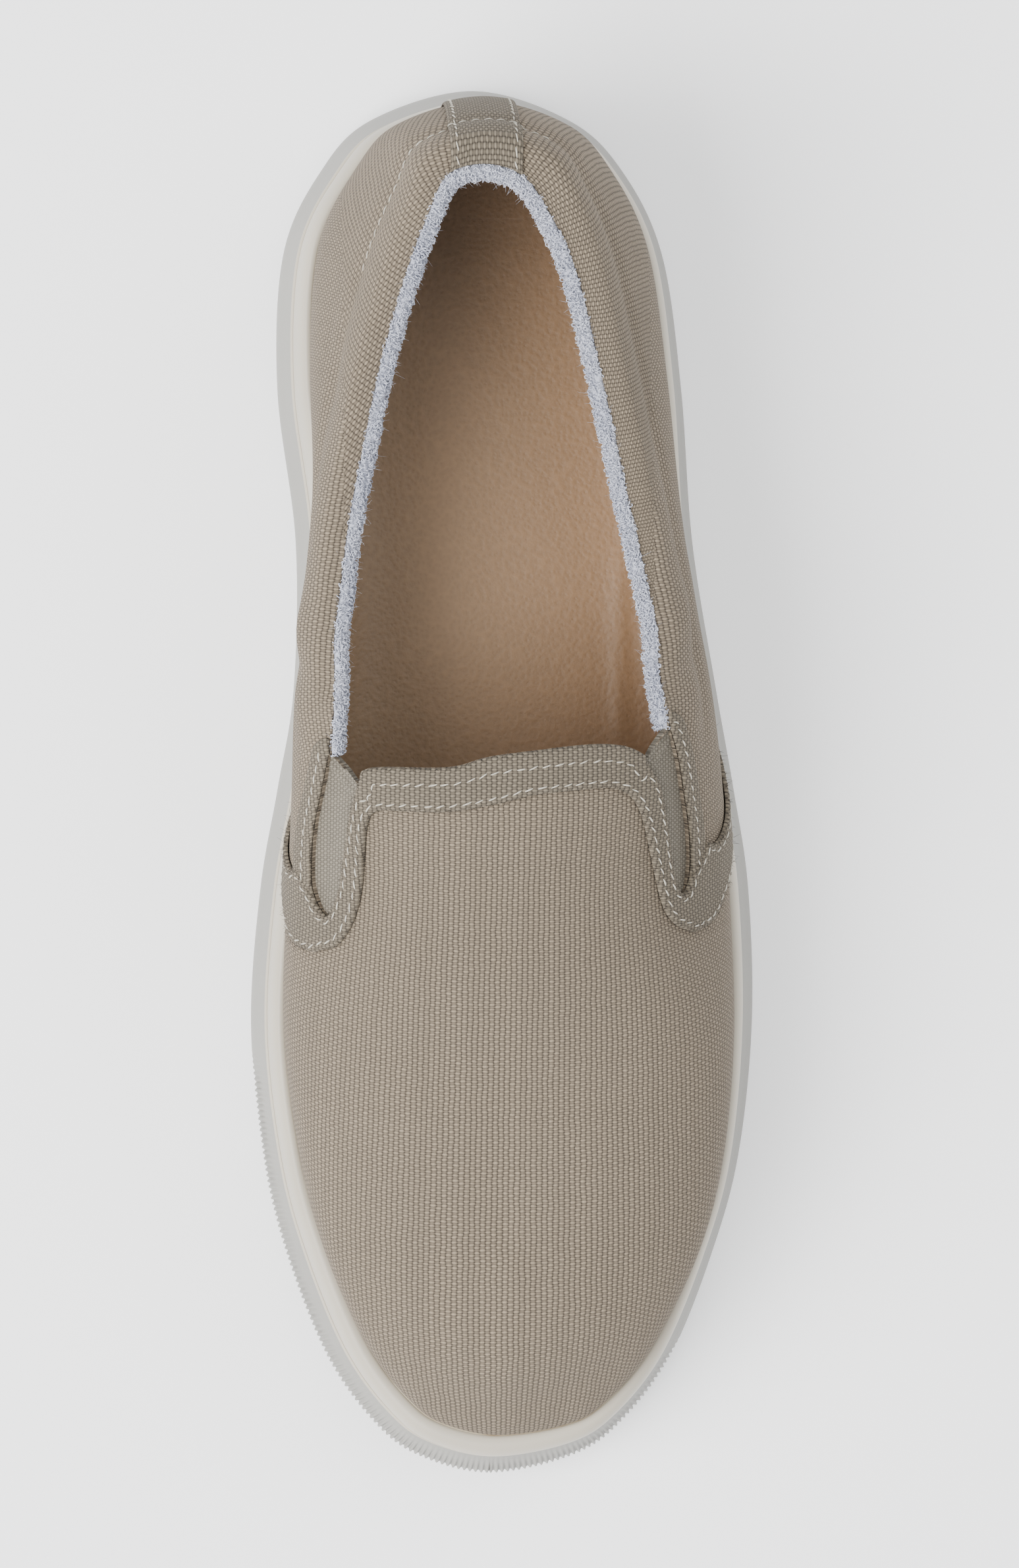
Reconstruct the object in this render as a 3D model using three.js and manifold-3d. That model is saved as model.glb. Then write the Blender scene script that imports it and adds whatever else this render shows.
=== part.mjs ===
// A low slip-on sneaker for the left foot: a cup sole of outsole and rim, and a canvas upper open
// at the collar, with two elastic gores, a trim round the throat, a heel strip and a leather insole.
// Millimetres, +Z up. The toe points along -Y, the medial side is -X and the lateral side +X.
// The origin is on the floor, under the middle of the sole's outline.
import * as THREE from "three";
import { mergeVertices } from "three/addons/utils/BufferGeometryUtils.js";
import Module from "manifold-3d";

const wasm = await Module();
wasm.setup();

// Driving sizes of the last and the sole
const LENGTH = 276; // outsole, toe tip to heel tip
const BALL_WIDTH = 101; // outsole, across the ball
const SOLE_HEIGHT = 33.5; // floor to the top of the rim at the heel
const TOE_SPRING = 8.5; // lift of the sole's underside at the toe tip
const RIM_WIDTH = 7; // sole's outline to the upper, across the rim
const COLLAR_RISE = 50; // top of the rim to the collar's outer edge, at the heel
const INSTEP_RISE = 51; // top of the rim to the middle of the throat

// Thicknesses and clearances
const CANVAS = 2.2; // upper's wall, canvas and lining together
const COLLAR_PAD = 5; // padded collar, across its top
const TRIM = 1; // throat trim and heel strip
const ELASTIC = 1.2; // gore panel
const ELASTIC_DEPTH = 0.6; // gore's face, below the canvas
const GAP = 0.3; // between pieces that touch
const INSOLE = 4;
const INSOLE_LIP = 1.6; // insole's edge, above its middle
const INSOLE_EDGE = 9; // width of the insole's rising edge
const CUP_DEPTH = 9; // top of the rim to the cup's floor
const HEEL_STRIP = 13.5; // width of the heel strip

// Tread of the outsole
const TREAD_DEPTH = 1.5;
const TREAD_WIDTH = 2.5;
const TREAD_PITCH = 9;
const TREAD_MARGIN = 11; // outline to the ends of the grooves

// Sections from toe tip to heel tip. The first and last rows are single points on the outline.
// along is a share of LENGTH from the toe tip, medial and lateral are shares of BALL_WIDTH from the
// origin's axis, rimM and rimL are shares of RIM_WIDTH on the two sides, rim is a share of
// SOLE_HEIGHT, and floor is a share of TOE_SPRING.
const SOLE_SECTIONS = [
  // along, medial, lateral, rimM, rimL, rim, floor
  [0.0, 0.034, -0.034, 1.42, 1.42, 0.91, 1.0],
  [0.012, 0.172, 0.129, 1.38, 1.28, 0.904, 0.92],
  [0.036, 0.262, 0.228, 1.33, 1.12, 0.885, 0.78],
  [0.084, 0.356, 0.329, 1.28, 1.0, 0.85, 0.5],
  [0.159, 0.437, 0.414, 1.2, 0.93, 0.815, 0.18],
  [0.23, 0.482, 0.467, 1.06, 0.92, 0.795, 0.0],
  [0.326, 0.505, 0.493, 0.94, 0.98, 0.79, 0.0],
  [0.423, 0.486, 0.485, 0.9, 1.0, 0.805, 0.0],
  [0.495, 0.452, 0.455, 0.92, 0.95, 0.83, 0.06],
  [0.568, 0.42, 0.419, 0.95, 0.92, 0.86, 0.14],
  [0.674, 0.416, 0.372, 0.98, 0.9, 0.905, 0.1],
  [0.785, 0.452, 0.35, 0.95, 0.9, 0.95, 0.0],
  [0.882, 0.44, 0.312, 0.95, 0.92, 0.98, 0.0],
  [0.942, 0.366, 0.234, 1.0, 0.98, 0.99, 0.06],
  [0.979, 0.266, 0.127, 1.02, 1.0, 0.997, 0.18],
  [1.0, 0.066, -0.066, 1.05, 1.05, 1.0, 0.28],
];

// Shoulder of the vamp, and behind the throat the collar's outer edge, row for row with the sole.
// high is a share of COLLAR_RISE above the rim, bulge is a share of CANVAS, low in the wall, and
// lean is the wall's angle at the shoulder, in degrees from level.
const SHOULDER_SECTIONS = [
  // along, medial, lateral, high, bulge, lean
  [0.062, 0.032, -0.032, 0.2, 0.5, 46],
  [0.067, 0.109, 0.055, 0.205, 0.5, 46],
  [0.08, 0.183, 0.139, 0.225, 0.5, 46],
  [0.111, 0.262, 0.238, 0.276, 0.5, 47],
  [0.17, 0.337, 0.327, 0.346, 0.5, 48],
  [0.243, 0.379, 0.368, 0.417, 0.5, 50],
  [0.333, 0.394, 0.364, 0.52, 0.8, 50],
  [0.428, 0.384, 0.31, 0.6, 1.4, 50],
  [0.507, 0.389, 0.304, 0.725, 1.9, 52],
  [0.572, 0.404, 0.31, 0.7, 2.2, 60],
  [0.67, 0.38, 0.266, 0.65, 2.0, 65],
  [0.775, 0.327, 0.198, 0.724, 1.6, 65],
  [0.857, 0.267, 0.142, 0.864, 1.6, 65],
  [0.9, 0.223, 0.096, 0.957, 1.8, 65],
  [0.9305, 0.185, 0.042, 0.992, 2.0, 65],
  [0.9425, 0.072, -0.072, 1.0, 2.0, 65],
];

// Ridge of the vamp, and behind the throat the level to which the collar's top would close.
// side is a share of BALL_WIDTH towards the lateral side, high a share of INSTEP_RISE above the rim.
const RIDGE_SECTIONS = [
  // along, side, high
  [0.149, -0.025, 0.42],
  [0.15, -0.025, 0.424],
  [0.156, -0.025, 0.449],
  [0.172, -0.026, 0.501],
  [0.21, -0.028, 0.583],
  [0.268, -0.032, 0.678],
  [0.348, -0.037, 0.795],
  [0.431, -0.041, 0.906],
  [0.504, -0.044, 1.0],
  [0.565, -0.047, 0.97],
  [0.663, -0.052, 0.75],
  [0.754, -0.06, 0.77],
  [0.815, -0.066, 0.905],
  [0.844, -0.069, 0.985],
  [0.859, -0.07, 1.022],
  [0.866, -0.07, 1.033],
];

// Lines on the plan: along and side as above
const THROAT_FRONT = [
  // medial corner to lateral corner
  [0.502, -0.311],
  [0.507, -0.307],
  [0.514, -0.289],
  [0.5145, -0.148],
  [0.5214, -0.076],
  [0.5257, 0.007],
  [0.53, 0.114],
  [0.5294, 0.18],
  [0.523, 0.222],
  [0.5178, 0.225],
];
const TRIM_FRONT = [
  // round the foot of the medial gore, across the vamp, round the foot of the lateral gore
  [0.4283, -0.441],
  [0.411, -0.43],
  [0.3953, -0.402],
  [0.3884, -0.359],
  [0.3957, -0.334],
  [0.4105, -0.314],
  [0.4326, -0.301],
  [0.4728, -0.294],
  [0.4844, -0.277],
  [0.485, -0.239],
  [0.4844, -0.146],
  [0.4902, -0.052],
  [0.4957, 0.009],
  [0.4982, 0.071],
  [0.5004, 0.133],
  [0.5, 0.164],
  [0.4946, 0.196],
  [0.4786, 0.221],
  [0.4413, 0.247],
  [0.4207, 0.262],
  [0.409, 0.278],
  [0.4022, 0.303],
  [0.4043, 0.333],
  [0.4138, 0.357],
  [0.4283, 0.372],
];
// The two edges of each gore, from the collar down: the quarter's front edge and the trim's edge
const MEDIAL_GORE = {
  quarter: [
    [0.5239, -0.365],
    [0.4986, -0.378],
    [0.4757, -0.39],
    [0.4554, -0.395],
    [0.4319, -0.3945],
    [0.4163, -0.38],
    [0.4105, -0.365],
  ],
  trim: [
    [0.502, -0.311],
    [0.4873, -0.322],
    [0.4728, -0.329],
    [0.4496, -0.336],
    [0.4293, -0.3435],
    [0.4149, -0.356],
  ],
};
const LATERAL_GORE = {
  quarter: [
    [0.5413, 0.274],
    [0.5214, 0.291],
    [0.4957, 0.305],
    [0.4725, 0.317],
    [0.4493, 0.323],
    [0.4348, 0.319],
    [0.427, 0.31],
  ],
  trim: [
    [0.5178, 0.225],
    [0.5043, 0.2505],
    [0.4899, 0.2614],
    [0.4728, 0.2713],
    [0.4496, 0.2812],
    [0.4319, 0.2911],
    [0.4254, 0.303],
  ],
};
// Back edge of the trim on the plan, from each gore's foot outward
const MEDIAL_TURN = [
  [0.4105, -0.365],
  [0.4188, -0.387],
  [0.4286, -0.403],
  [0.4402, -0.416],
];
const LATERAL_TURN = [
  [0.4254, 0.307],
  [0.4373, 0.329],
  [0.4518, 0.3485],
  [0.46, 0.355],
];

// Trim's outer limbs seen from the side. along is as above, high is a share of the floor to the
// collar's height. The lines go from the gore's foot down to the rim.
const LIMB_FROM = 0.587; // below this height the limbs are drawn from the side
const MEDIAL_LIMB = {
  back: [
    [0.4105, 0.68],
    [0.4347, 0.62],
    [0.4402, 0.587],
    [0.4721, 0.497],
    [0.4899, 0.455],
    [0.529, 0.383],
    [0.565, 0.311],
  ],
  front: [
    [0.3877, 0.653],
    [0.3913, 0.6],
    [0.404, 0.545],
    [0.424, 0.497],
    [0.449, 0.443],
    [0.4746, 0.389],
    [0.5036, 0.311],
  ],
};
const LATERAL_LIMB = {
  back: [
    [0.4254, 0.68],
    [0.4518, 0.62],
    [0.46, 0.587],
    [0.4841, 0.515],
    [0.5014, 0.473],
    [0.5514, 0.383],
    [0.587, 0.311],
  ],
  front: [
    [0.4022, 0.653],
    [0.4058, 0.599],
    [0.4185, 0.545],
    [0.4384, 0.491],
    [0.4638, 0.443],
    [0.4891, 0.395],
    [0.529, 0.311],
  ],
};
const HEEL_STRIP_SIDE = -0.078; // middle of the heel strip, a share of BALL_WIDTH
const HEEL_STRIP_FROM = 0.85; // the strip is behind this share of LENGTH

// Side of the sole from the floor up. in is a share of the rim's width, up of the sole's height.
const OUTSOLE_PROFILE = [
  [0.4, 0.0],
  [0.12, 0.05],
  [0.0, 0.16],
  [0.24, 0.32],
  [0.47, 0.45],
];
const RIM_PROFILE = [
  [0.49, 0.45],
  [0.5, 0.68],
  [0.53, 0.84],
  [0.62, 0.95],
  [0.76, 1.0],
  [0.92, 1.0],
  [1.0, 0.975],
];

const STEPS = 3; // samples between two sections
const WALL_ROWS = 7; // samples from rim to shoulder
const DECK_ROWS = 6; // samples from shoulder to ridge
const CURVE_STEPS = 3; // samples between two points of a drawn line
const COLLAR_FROM = 9; // first section with a collar
const FAR = 60; // reach of the cutters past the shoe
const GORE_MOUTH = 3; // reach of a gore's cutter into the opening
const CUT_FROM = 0.55; // height from which the opening and gores are cut, a share of the collar's

const COLLAR_HEIGHT = SOLE_HEIGHT + COLLAR_RISE;
const TUCK = CUP_DEPTH - GAP; // upper hidden behind the rim
const OPEN_DROP = 2 * CUP_DEPTH; // reach of a hollow through the open underside

// Smooth closed curve through the sections' points, up the lateral side and back down the medial
const LAST = SOLE_SECTIONS.length - 1;
function ring(point) {
  const points = [];
  for (let k = 0; k <= LAST; k++) points.push(point(k, 1));
  for (let k = LAST - 1; k > 0; k--) points.push(point(k, -1));
  const curve = new THREE.CatmullRomCurve3(points, true, "catmullrom", 0.5);
  const count = points.length * STEPS;
  return Array.from({ length: count }, (_, i) => curve.getPoint(i / count));
}

const sideOf = (row, side) => (side > 0 ? row[2] : -row[1]);
const onPlan = (along, side) => [side * BALL_WIDTH, (along - 0.5) * LENGTH];

const outline = ring((k, side) => {
  const row = SOLE_SECTIONS[k];
  return new THREE.Vector3(...onPlan(row[0], sideOf(row, side)), 0);
});
const middle = new THREE.Box3().setFromPoints(outline).getCenter(new THREE.Vector3());
outline.forEach((p) => p.sub(middle));
const COUNT = outline.length;
const next = (i) => (i + 1) % COUNT;
const previous = (i) => (i + COUNT - 1) % COUNT;

// Numbers that follow the sections round the outline, one for each of its points
const around = (value) => ring((k, side) => new THREE.Vector3(value(k, side), 0, 0)).map((p) => p.x);
const rimTop = around((k) => SOLE_SECTIONS[k][5] * SOLE_HEIGHT);
const floor = around((k) => SOLE_SECTIONS[k][6] * TOE_SPRING).map((z) => Math.max(0, z));
const rimWidth = around((k, side) => SOLE_SECTIONS[k][side > 0 ? 4 : 3] * RIM_WIDTH);
const bulge = around((k) => SHOULDER_SECTIONS[k][4] * CANVAS);
const lean = around((k) => THREE.MathUtils.degToRad(SHOULDER_SECTIONS[k][5]));
const isCollar = around((k) => (k >= COLLAR_FROM ? 1 : 0)).map((c) => THREE.MathUtils.clamp(c, 0, 1));

const outward = outline.map((_, i) => {
  const along = outline[next(i)].clone().sub(outline[previous(i)]);
  return new THREE.Vector3(along.y, -along.x, 0).normalize();
});

// A ring of the sole: the outline moved in by inset(i), at height(i)
const soleRing = (inset, height) =>
  outline.map((p, i) => p.clone().addScaledVector(outward[i], -inset(i)).setZ(height(i)));

function profileRing([inward, up]) {
  return soleRing(
    (i) => inward * rimWidth[i],
    (i) => THREE.MathUtils.lerp(floor[i], rimTop[i], up),
  );
}

// A solid from a closed geometry
function fromGeometry(geometry) {
  const bare = geometry.clone();
  bare.deleteAttribute("normal");
  bare.deleteAttribute("uv");
  const merged = mergeVertices(bare, 1e-4);
  const index = merged.index.array;
  const kept = [];
  for (let i = 0; i < index.length; i += 3) {
    const [a, b, c] = index.slice(i, i + 3);
    if (a !== b && b !== c && c !== a) kept.push(a, b, c);
  }
  return new wasm.Manifold(
    new wasm.Mesh({
      numProp: 3,
      vertProperties: merged.attributes.position.array,
      triVerts: new Uint32Array(kept),
    }),
  );
}

function solid(vertices, triangles) {
  const geometry = new THREE.BufferGeometry().setFromPoints(vertices);
  geometry.setIndex(triangles.flat());
  return fromGeometry(geometry);
}

// Triangles across a ring, from each lateral point to the medial point opposite
function across(first, count, facingUp) {
  const triangles = [];
  for (let i = 0; i < count / 2; i++) {
    const [a, b] = [first + i, first + i + 1];
    const [c, d] = [first + ((count - i - 1) % count), first + ((count - i) % count)];
    const pair = [
      [a, b, c],
      [a, c, d],
    ];
    triangles.push(...pair.map((t) => (facingUp ? t : [t[0], t[2], t[1]])));
  }
  return triangles.filter(([a, b, c]) => a !== b && b !== c && c !== a);
}

function wallBetween(rows, count) {
  const triangles = [];
  for (let r = 0; r + 1 < rows; r++)
    for (let i = 0; i < count; i++) {
      const [a, b] = [r * count + i, r * count + ((i + 1) % count)];
      triangles.push([a, b, b + count], [a, b + count, a + count]);
    }
  return triangles;
}

// A stack of rings, closed across at both ends
function stack(rings) {
  const count = rings[0].length;
  return solid(rings.flat(), [
    ...across(0, count, false),
    ...wallBetween(rings.length, count),
    ...across((rings.length - 1) * count, count, true),
  ]);
}

// Lines of the last above the rim
const shoulder = ring((k, side) => {
  const row = SHOULDER_SECTIONS[k];
  return new THREE.Vector3(...onPlan(row[0], sideOf(row, side)), row[3] * COLLAR_RISE);
});
const ridge = ring((k) => {
  const row = RIDGE_SECTIONS[k];
  return new THREE.Vector3(...onPlan(row[0], row[1]), row[2] * INSTEP_RISE);
});
[shoulder, ridge].forEach((line) => line.forEach((p, i) => p.sub(middle).setZ(p.z + rimTop[i])));

// Outer face of the last: for each point of the outline, a line of points from the rim up over the
// shoulder to the ridge. The handles are shares of the wall's rise, of the deck's rise and of its
// span, and the shortest handle is a length in mm.
const HANDLE = { low: 0.4, high: 0.35, over: 0.55, shortest: 3, ridge: 0.45 };
const cubic = (a, b, c, d, t) => new THREE.CubicBezierCurve3(a, b, c, d).getPoint(t);
const face = outline.map((p, i) => {
  const foot = p.clone().addScaledVector(outward[i], -(rimWidth[i] + GAP)).setZ(rimTop[i]);
  const inward = ridge[i].clone().sub(foot).setZ(0).normalize();
  const rise = shoulder[i].z - foot.z;
  const slope = inward.clone().multiplyScalar(Math.cos(lean[i])).setZ(Math.sin(lean[i]));
  const low = foot.clone().addScaledVector(inward, -bulge[i]).setZ(foot.z + HANDLE.low * rise);
  const high = shoulder[i].clone().addScaledVector(slope, -HANDLE.high * rise);
  const lift = ((ridge[i].z - shoulder[i].z) * HANDLE.over) / Math.sin(lean[i]);
  const over = shoulder[i].clone().addScaledVector(slope, Math.max(HANDLE.shortest, lift));
  const span = shoulder[i].distanceTo(ridge[i]);
  const near = ridge[i].clone().addScaledVector(inward, -HANDLE.ridge * span);
  const line = [];
  for (let r = 0; r <= WALL_ROWS; r++)
    line.push(cubic(foot, low, high, shoulder[i], r / WALL_ROWS));
  for (let r = 1; r <= DECK_ROWS; r++)
    line.push(cubic(shoulder[i], over, near, ridge[i], r / DECK_ROWS));
  return line;
});
const ROWS = WALL_ROWS + DECK_ROWS;

const normals = face.map((line, i) =>
  line.map((p, r) => {
    if (r === ROWS) {
      const end = i === 0 || i === COUNT / 2;
      const ahead = end ? new THREE.Vector3(0, 1, 0) : ridge[next(i)].clone().sub(ridge[previous(i)]);
      ahead.normalize();
      return new THREE.Vector3(0, 0, 1).addScaledVector(ahead, -ahead.z).normalize();
    }
    const sideways = face[next(i)][r].clone().sub(face[previous(i)][r]);
    const up = line[r + 1].clone().sub(line[Math.max(0, r - 1)]);
    return sideways.cross(up).normalize();
  }),
);

// The last's form grown by grow(i, r) along its normals, closed at the ridge and reaching drop
// below the top of the rim
function form(grow, drop) {
  const grown = (i, r) => face[i][r].clone().addScaledVector(normals[i][r], grow(i, r));
  const vertices = outline.map((_, i) => grown(i, 0).setZ(rimTop[i] - drop));
  for (let r = 0; r < ROWS; r++) outline.forEach((_, i) => vertices.push(grown(i, r)));
  const top = vertices.length;
  for (let i = 0; i <= COUNT / 2; i++) vertices.push(grown(i, ROWS));
  const triangles = [...across(0, COUNT, false), ...wallBetween(ROWS + 1, COUNT)];
  const crest = (i) => top + Math.min(i, COUNT - i);
  for (let i = 0; i < COUNT; i++) {
    const [a, b, c, d] = [ROWS * COUNT + i, ROWS * COUNT + next(i), crest(i + 1), crest(i)];
    triangles.push([a, b, c], [a, c, d]);
  }
  return solid(vertices, triangles.filter(([a, b, c]) => a !== b && b !== c && c !== a));
}

// Wall of the upper, thicker towards the top of the padded collar
function wallThickness(i, r) {
  const share = THREE.MathUtils.smoothstep(r / WALL_ROWS, 0.4, 1);
  return CANVAS + (COLLAR_PAD - CANVAS) * isCollar[i] * share;
}

// A layer of the last's form, between two distances outside its face
const layer = (inner, outer) => form(() => outer, TUCK).subtract(form(() => inner, OPEN_DROP));

// Smooth line through drawn points
function drawn(points) {
  const curve = new THREE.SplineCurve(points);
  return curve.getPoints((points.length - 1) * CURVE_STEPS);
}
const planLine = (rows) =>
  drawn(rows.map(([along, side]) => new THREE.Vector2(...onPlan(along, side)).sub(middle)));
const sideLine = (rows) =>
  drawn(rows.map(([along, high]) => {
    const [, y] = onPlan(along, 0);
    return new THREE.Vector2(y - middle.y, high * COLLAR_HEIGHT);
  }));

// Cutter of a plan outline, upward from low
function planCutter(points, low) {
  const geometry = new THREE.ExtrudeGeometry(new THREE.Shape(points), {
    depth: COLLAR_HEIGHT + FAR - low,
    bevelEnabled: false,
  });
  return fromGeometry(geometry.translate(0, 0, low));
}

// Cutter of an outline seen from the side, from the middle of the shoe out to side, -1 or 1
function sideCutter(points, side) {
  const geometry = new THREE.ExtrudeGeometry(new THREE.Shape(points), {
    depth: BALL_WIDTH / 2 + FAR,
    bevelEnabled: false,
  });
  const [acrossShoe, along, up] = [0, 1, 2].map((a) => new THREE.Vector3().setComponent(a, 1));
  geometry.applyMatrix4(new THREE.Matrix4().makeBasis(along, up, acrossShoe));
  return fromGeometry(geometry.translate(side < 0 ? -BALL_WIDTH / 2 - FAR : 0, 0, 0));
}

// Outline moved outward by distance, or inward where it is negative
function offset(points, distance) {
  const turn = THREE.ShapeUtils.isClockWise(points) ? -1 : 1;
  return points.map((p, i) => {
    const before = points[(i + points.length - 1) % points.length];
    const after = points[(i + 1) % points.length];
    const into = p.clone().sub(before).normalize();
    const out = after.clone().sub(p).normalize();
    const mean = into.clone().add(out).normalize();
    const sharp = Math.max(0.5, mean.dot(out));
    const normal = new THREE.Vector2(mean.y, -mean.x).multiplyScalar(turn);
    return p.clone().addScaledVector(normal, distance / sharp);
  });
}

const throatFront = planLine(THROAT_FRONT);

// The collar's inner edge on the plan, from the lateral side round the heel to the medial side
const collarInner = shoulder
  .map((p, i) => {
    const normal = normals[i][WALL_ROWS].clone().setZ(0).normalize();
    return p.clone().addScaledVector(normal, -COLLAR_PAD);
  })
  .slice(COLLAR_FROM * STEPS, COUNT - COLLAR_FROM * STEPS + 1)
  .map((p) => new THREE.Vector2(p.x, p.y));

const gorePlan = (gore) => [...planLine(gore.quarter), ...planLine(gore.trim).reverse()];
const cornerOf = (gore) => planLine(gore.quarter)[0];

// A point in the opening, beside the top end of a gore
function besideGore(gore) {
  const [a, b] = [cornerOf(gore), planLine(gore.trim)[0]];
  const run = b.clone().sub(a).normalize();
  const inward = new THREE.Vector2(-run.y, run.x).multiplyScalar(-Math.sign(a.x));
  return a.add(b).multiplyScalar(0.5).addScaledVector(inward, GORE_MOUTH);
}

const openingPlan = [
  ...collarInner,
  cornerOf(MEDIAL_GORE),
  ...throatFront,
  cornerOf(LATERAL_GORE),
];
const cutFrom = CUT_FROM * COLLAR_HEIGHT;
const opening = () => planCutter(openingPlan, cutFrom);

function makeUpper() {
  const outer = form(() => 0, TUCK);
  const inner = form((i, r) => -wallThickness(i, r), OPEN_DROP);
  let cutter = opening();
  for (const gore of [MEDIAL_GORE, LATERAL_GORE])
    cutter = cutter.add(planCutter([...gorePlan(gore), besideGore(gore)], cutFrom));
  return outer.subtract(inner).subtract(cutter);
}

function makeGore(gore) {
  const cutter = planCutter(offset(gorePlan(gore), -GAP), cutFrom);
  return layer(-ELASTIC_DEPTH - ELASTIC, -ELASTIC_DEPTH).intersect(cutter);
}

// Everything up to the top of the rim
const underRim = () =>
  stack([soleRing(() => -GAP, () => -FAR), soleRing(() => -GAP, (i) => rimTop[i] + GAP)]);

function limb(lines, side) {
  return sideCutter([...sideLine(lines.back), ...sideLine(lines.front).reverse()], side);
}

function makeVampTrim() {
  const plan = [
    ...planLine(TRIM_FRONT),
    ...planLine(LATERAL_TURN).reverse(),
    ...planLine(LATERAL_GORE.trim).reverse(),
    besideGore(LATERAL_GORE),
    besideGore(MEDIAL_GORE),
    ...planLine(MEDIAL_GORE.trim),
    ...planLine(MEDIAL_TURN),
  ];
  const cutter = planCutter(plan, LIMB_FROM * COLLAR_HEIGHT)
    .add(limb(MEDIAL_LIMB, -1))
    .add(limb(LATERAL_LIMB, 1));
  return layer(GAP, GAP + TRIM).intersect(cutter).subtract(underRim()).subtract(opening());
}

function makeHeelStrip() {
  const [x, y] = onPlan(HEEL_STRIP_FROM, HEEL_STRIP_SIDE);
  const back = LENGTH / 2 + FAR;
  const plan = [
    new THREE.Vector2(x - HEEL_STRIP / 2, y),
    new THREE.Vector2(x + HEEL_STRIP / 2, y),
    new THREE.Vector2(x + HEEL_STRIP / 2, back),
    new THREE.Vector2(x - HEEL_STRIP / 2, back),
  ];
  const cutter = planCutter(plan.map((p) => p.sub(middle)), 0);
  return layer(GAP, GAP + TRIM).intersect(cutter).subtract(underRim()).subtract(opening());
}

function makeOutsole() {
  const body = stack(OUTSOLE_PROFILE.map(profileRing));
  const lands = stack([
    soleRing(() => TREAD_MARGIN, () => -FAR),
    soleRing(() => TREAD_MARGIN, (i) => floor[i] + TREAD_DEPTH),
  ]);
  const groove = new THREE.BoxGeometry(2 * BALL_WIDTH, TREAD_WIDTH, 2 * FAR);
  const places = [];
  for (let y = TREAD_PITCH / 2; y < LENGTH / 2; y += TREAD_PITCH) places.push(-y, y);
  const grooves = places.map((y) => fromGeometry(groove.clone().translate(0, y, 0)));
  return body.subtract(lands.intersect(wasm.Manifold.union(grooves)));
}

function makeMidsole() {
  const [inset, up] = RIM_PROFILE[0];
  const gapAbove = soleRing(
    (i) => inset * rimWidth[i],
    (i) => THREE.MathUtils.lerp(floor[i], rimTop[i], up) + GAP,
  );
  const rim = RIM_PROFILE.slice(1).map(profileRing);
  const cupFloor = soleRing((i) => rimWidth[i], (i) => rimTop[i] - CUP_DEPTH);
  return stack([gapAbove, ...rim, cupFloor]);
}

function makeInsole() {
  const edge = (i) => rimWidth[i] + 2 * GAP + CANVAS;
  const under = (i) => rimTop[i] - CUP_DEPTH + GAP;
  return stack([
    soleRing(edge, under),
    soleRing(edge, (i) => under(i) + INSOLE + INSOLE_LIP),
    soleRing((i) => edge(i) + GAP, (i) => under(i) + INSOLE + INSOLE_LIP),
    soleRing((i) => edge(i) + INSOLE_EDGE / 2, (i) => under(i) + INSOLE + INSOLE_LIP / 3),
    soleRing((i) => edge(i) + INSOLE_EDGE, (i) => under(i) + INSOLE),
  ]);
}

const finish = (color, roughness) => new THREE.MeshStandardMaterial({ color, roughness, metalness: 0 });
const canvas = finish(0xaa9b8a, 0.92);
const trimCanvas = finish(0xa59d8f, 0.92);
const elastic = finish(0x9e978a, 0.9);
const rimRubber = finish(0xdedad0, 0.6);
const soleRubber = finish(0xc8c6c1, 0.65);
const leather = finish(0x9b8064, 0.6);

function piece(name, made, material) {
  const { vertProperties, triVerts } = made.getMesh();
  const geometry = new THREE.BufferGeometry();
  geometry.setAttribute("position", new THREE.BufferAttribute(vertProperties, 3));
  geometry.setIndex(new THREE.BufferAttribute(triVerts, 1));
  const mesh = new THREE.Mesh(geometry, material);
  mesh.name = name;
  return mesh;
}

const shoe = new THREE.Group();
shoe.add(piece("outsole", makeOutsole(), soleRubber));
shoe.add(piece("midsole", makeMidsole(), rimRubber));
shoe.add(piece("insole", makeInsole(), leather));
shoe.add(piece("upper", makeUpper(), canvas));
shoe.add(piece("gore_medial", makeGore(MEDIAL_GORE), elastic));
shoe.add(piece("gore_lateral", makeGore(LATERAL_GORE), elastic));
shoe.add(piece("vamp_trim", makeVampTrim(), trimCanvas));
shoe.add(piece("heel_strip", makeHeelStrip(), trimCanvas));

export default shoe;
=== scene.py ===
import math

import bpy
import numpy as np
from mathutils import Matrix, Vector


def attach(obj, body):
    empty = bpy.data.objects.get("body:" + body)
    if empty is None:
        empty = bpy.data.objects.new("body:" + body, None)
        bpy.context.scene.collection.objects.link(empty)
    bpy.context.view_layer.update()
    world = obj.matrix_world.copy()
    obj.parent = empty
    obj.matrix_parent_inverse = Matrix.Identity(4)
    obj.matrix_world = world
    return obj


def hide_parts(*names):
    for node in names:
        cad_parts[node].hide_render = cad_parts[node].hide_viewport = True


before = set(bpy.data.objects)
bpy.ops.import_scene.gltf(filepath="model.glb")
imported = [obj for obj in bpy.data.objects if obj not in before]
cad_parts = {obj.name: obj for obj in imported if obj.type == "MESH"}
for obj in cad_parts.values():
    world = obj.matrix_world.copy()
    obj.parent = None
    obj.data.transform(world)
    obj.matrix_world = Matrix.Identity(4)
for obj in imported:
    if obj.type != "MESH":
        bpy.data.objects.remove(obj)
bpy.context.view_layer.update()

# A canvas slip-on sneaker for the left foot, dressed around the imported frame. The form comes from
# the same sections as the frame's solids, in millimetres: toe along -Y, medial side -X, +Z up.
MM = 0.001
random = np.random.default_rng(7)

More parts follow.
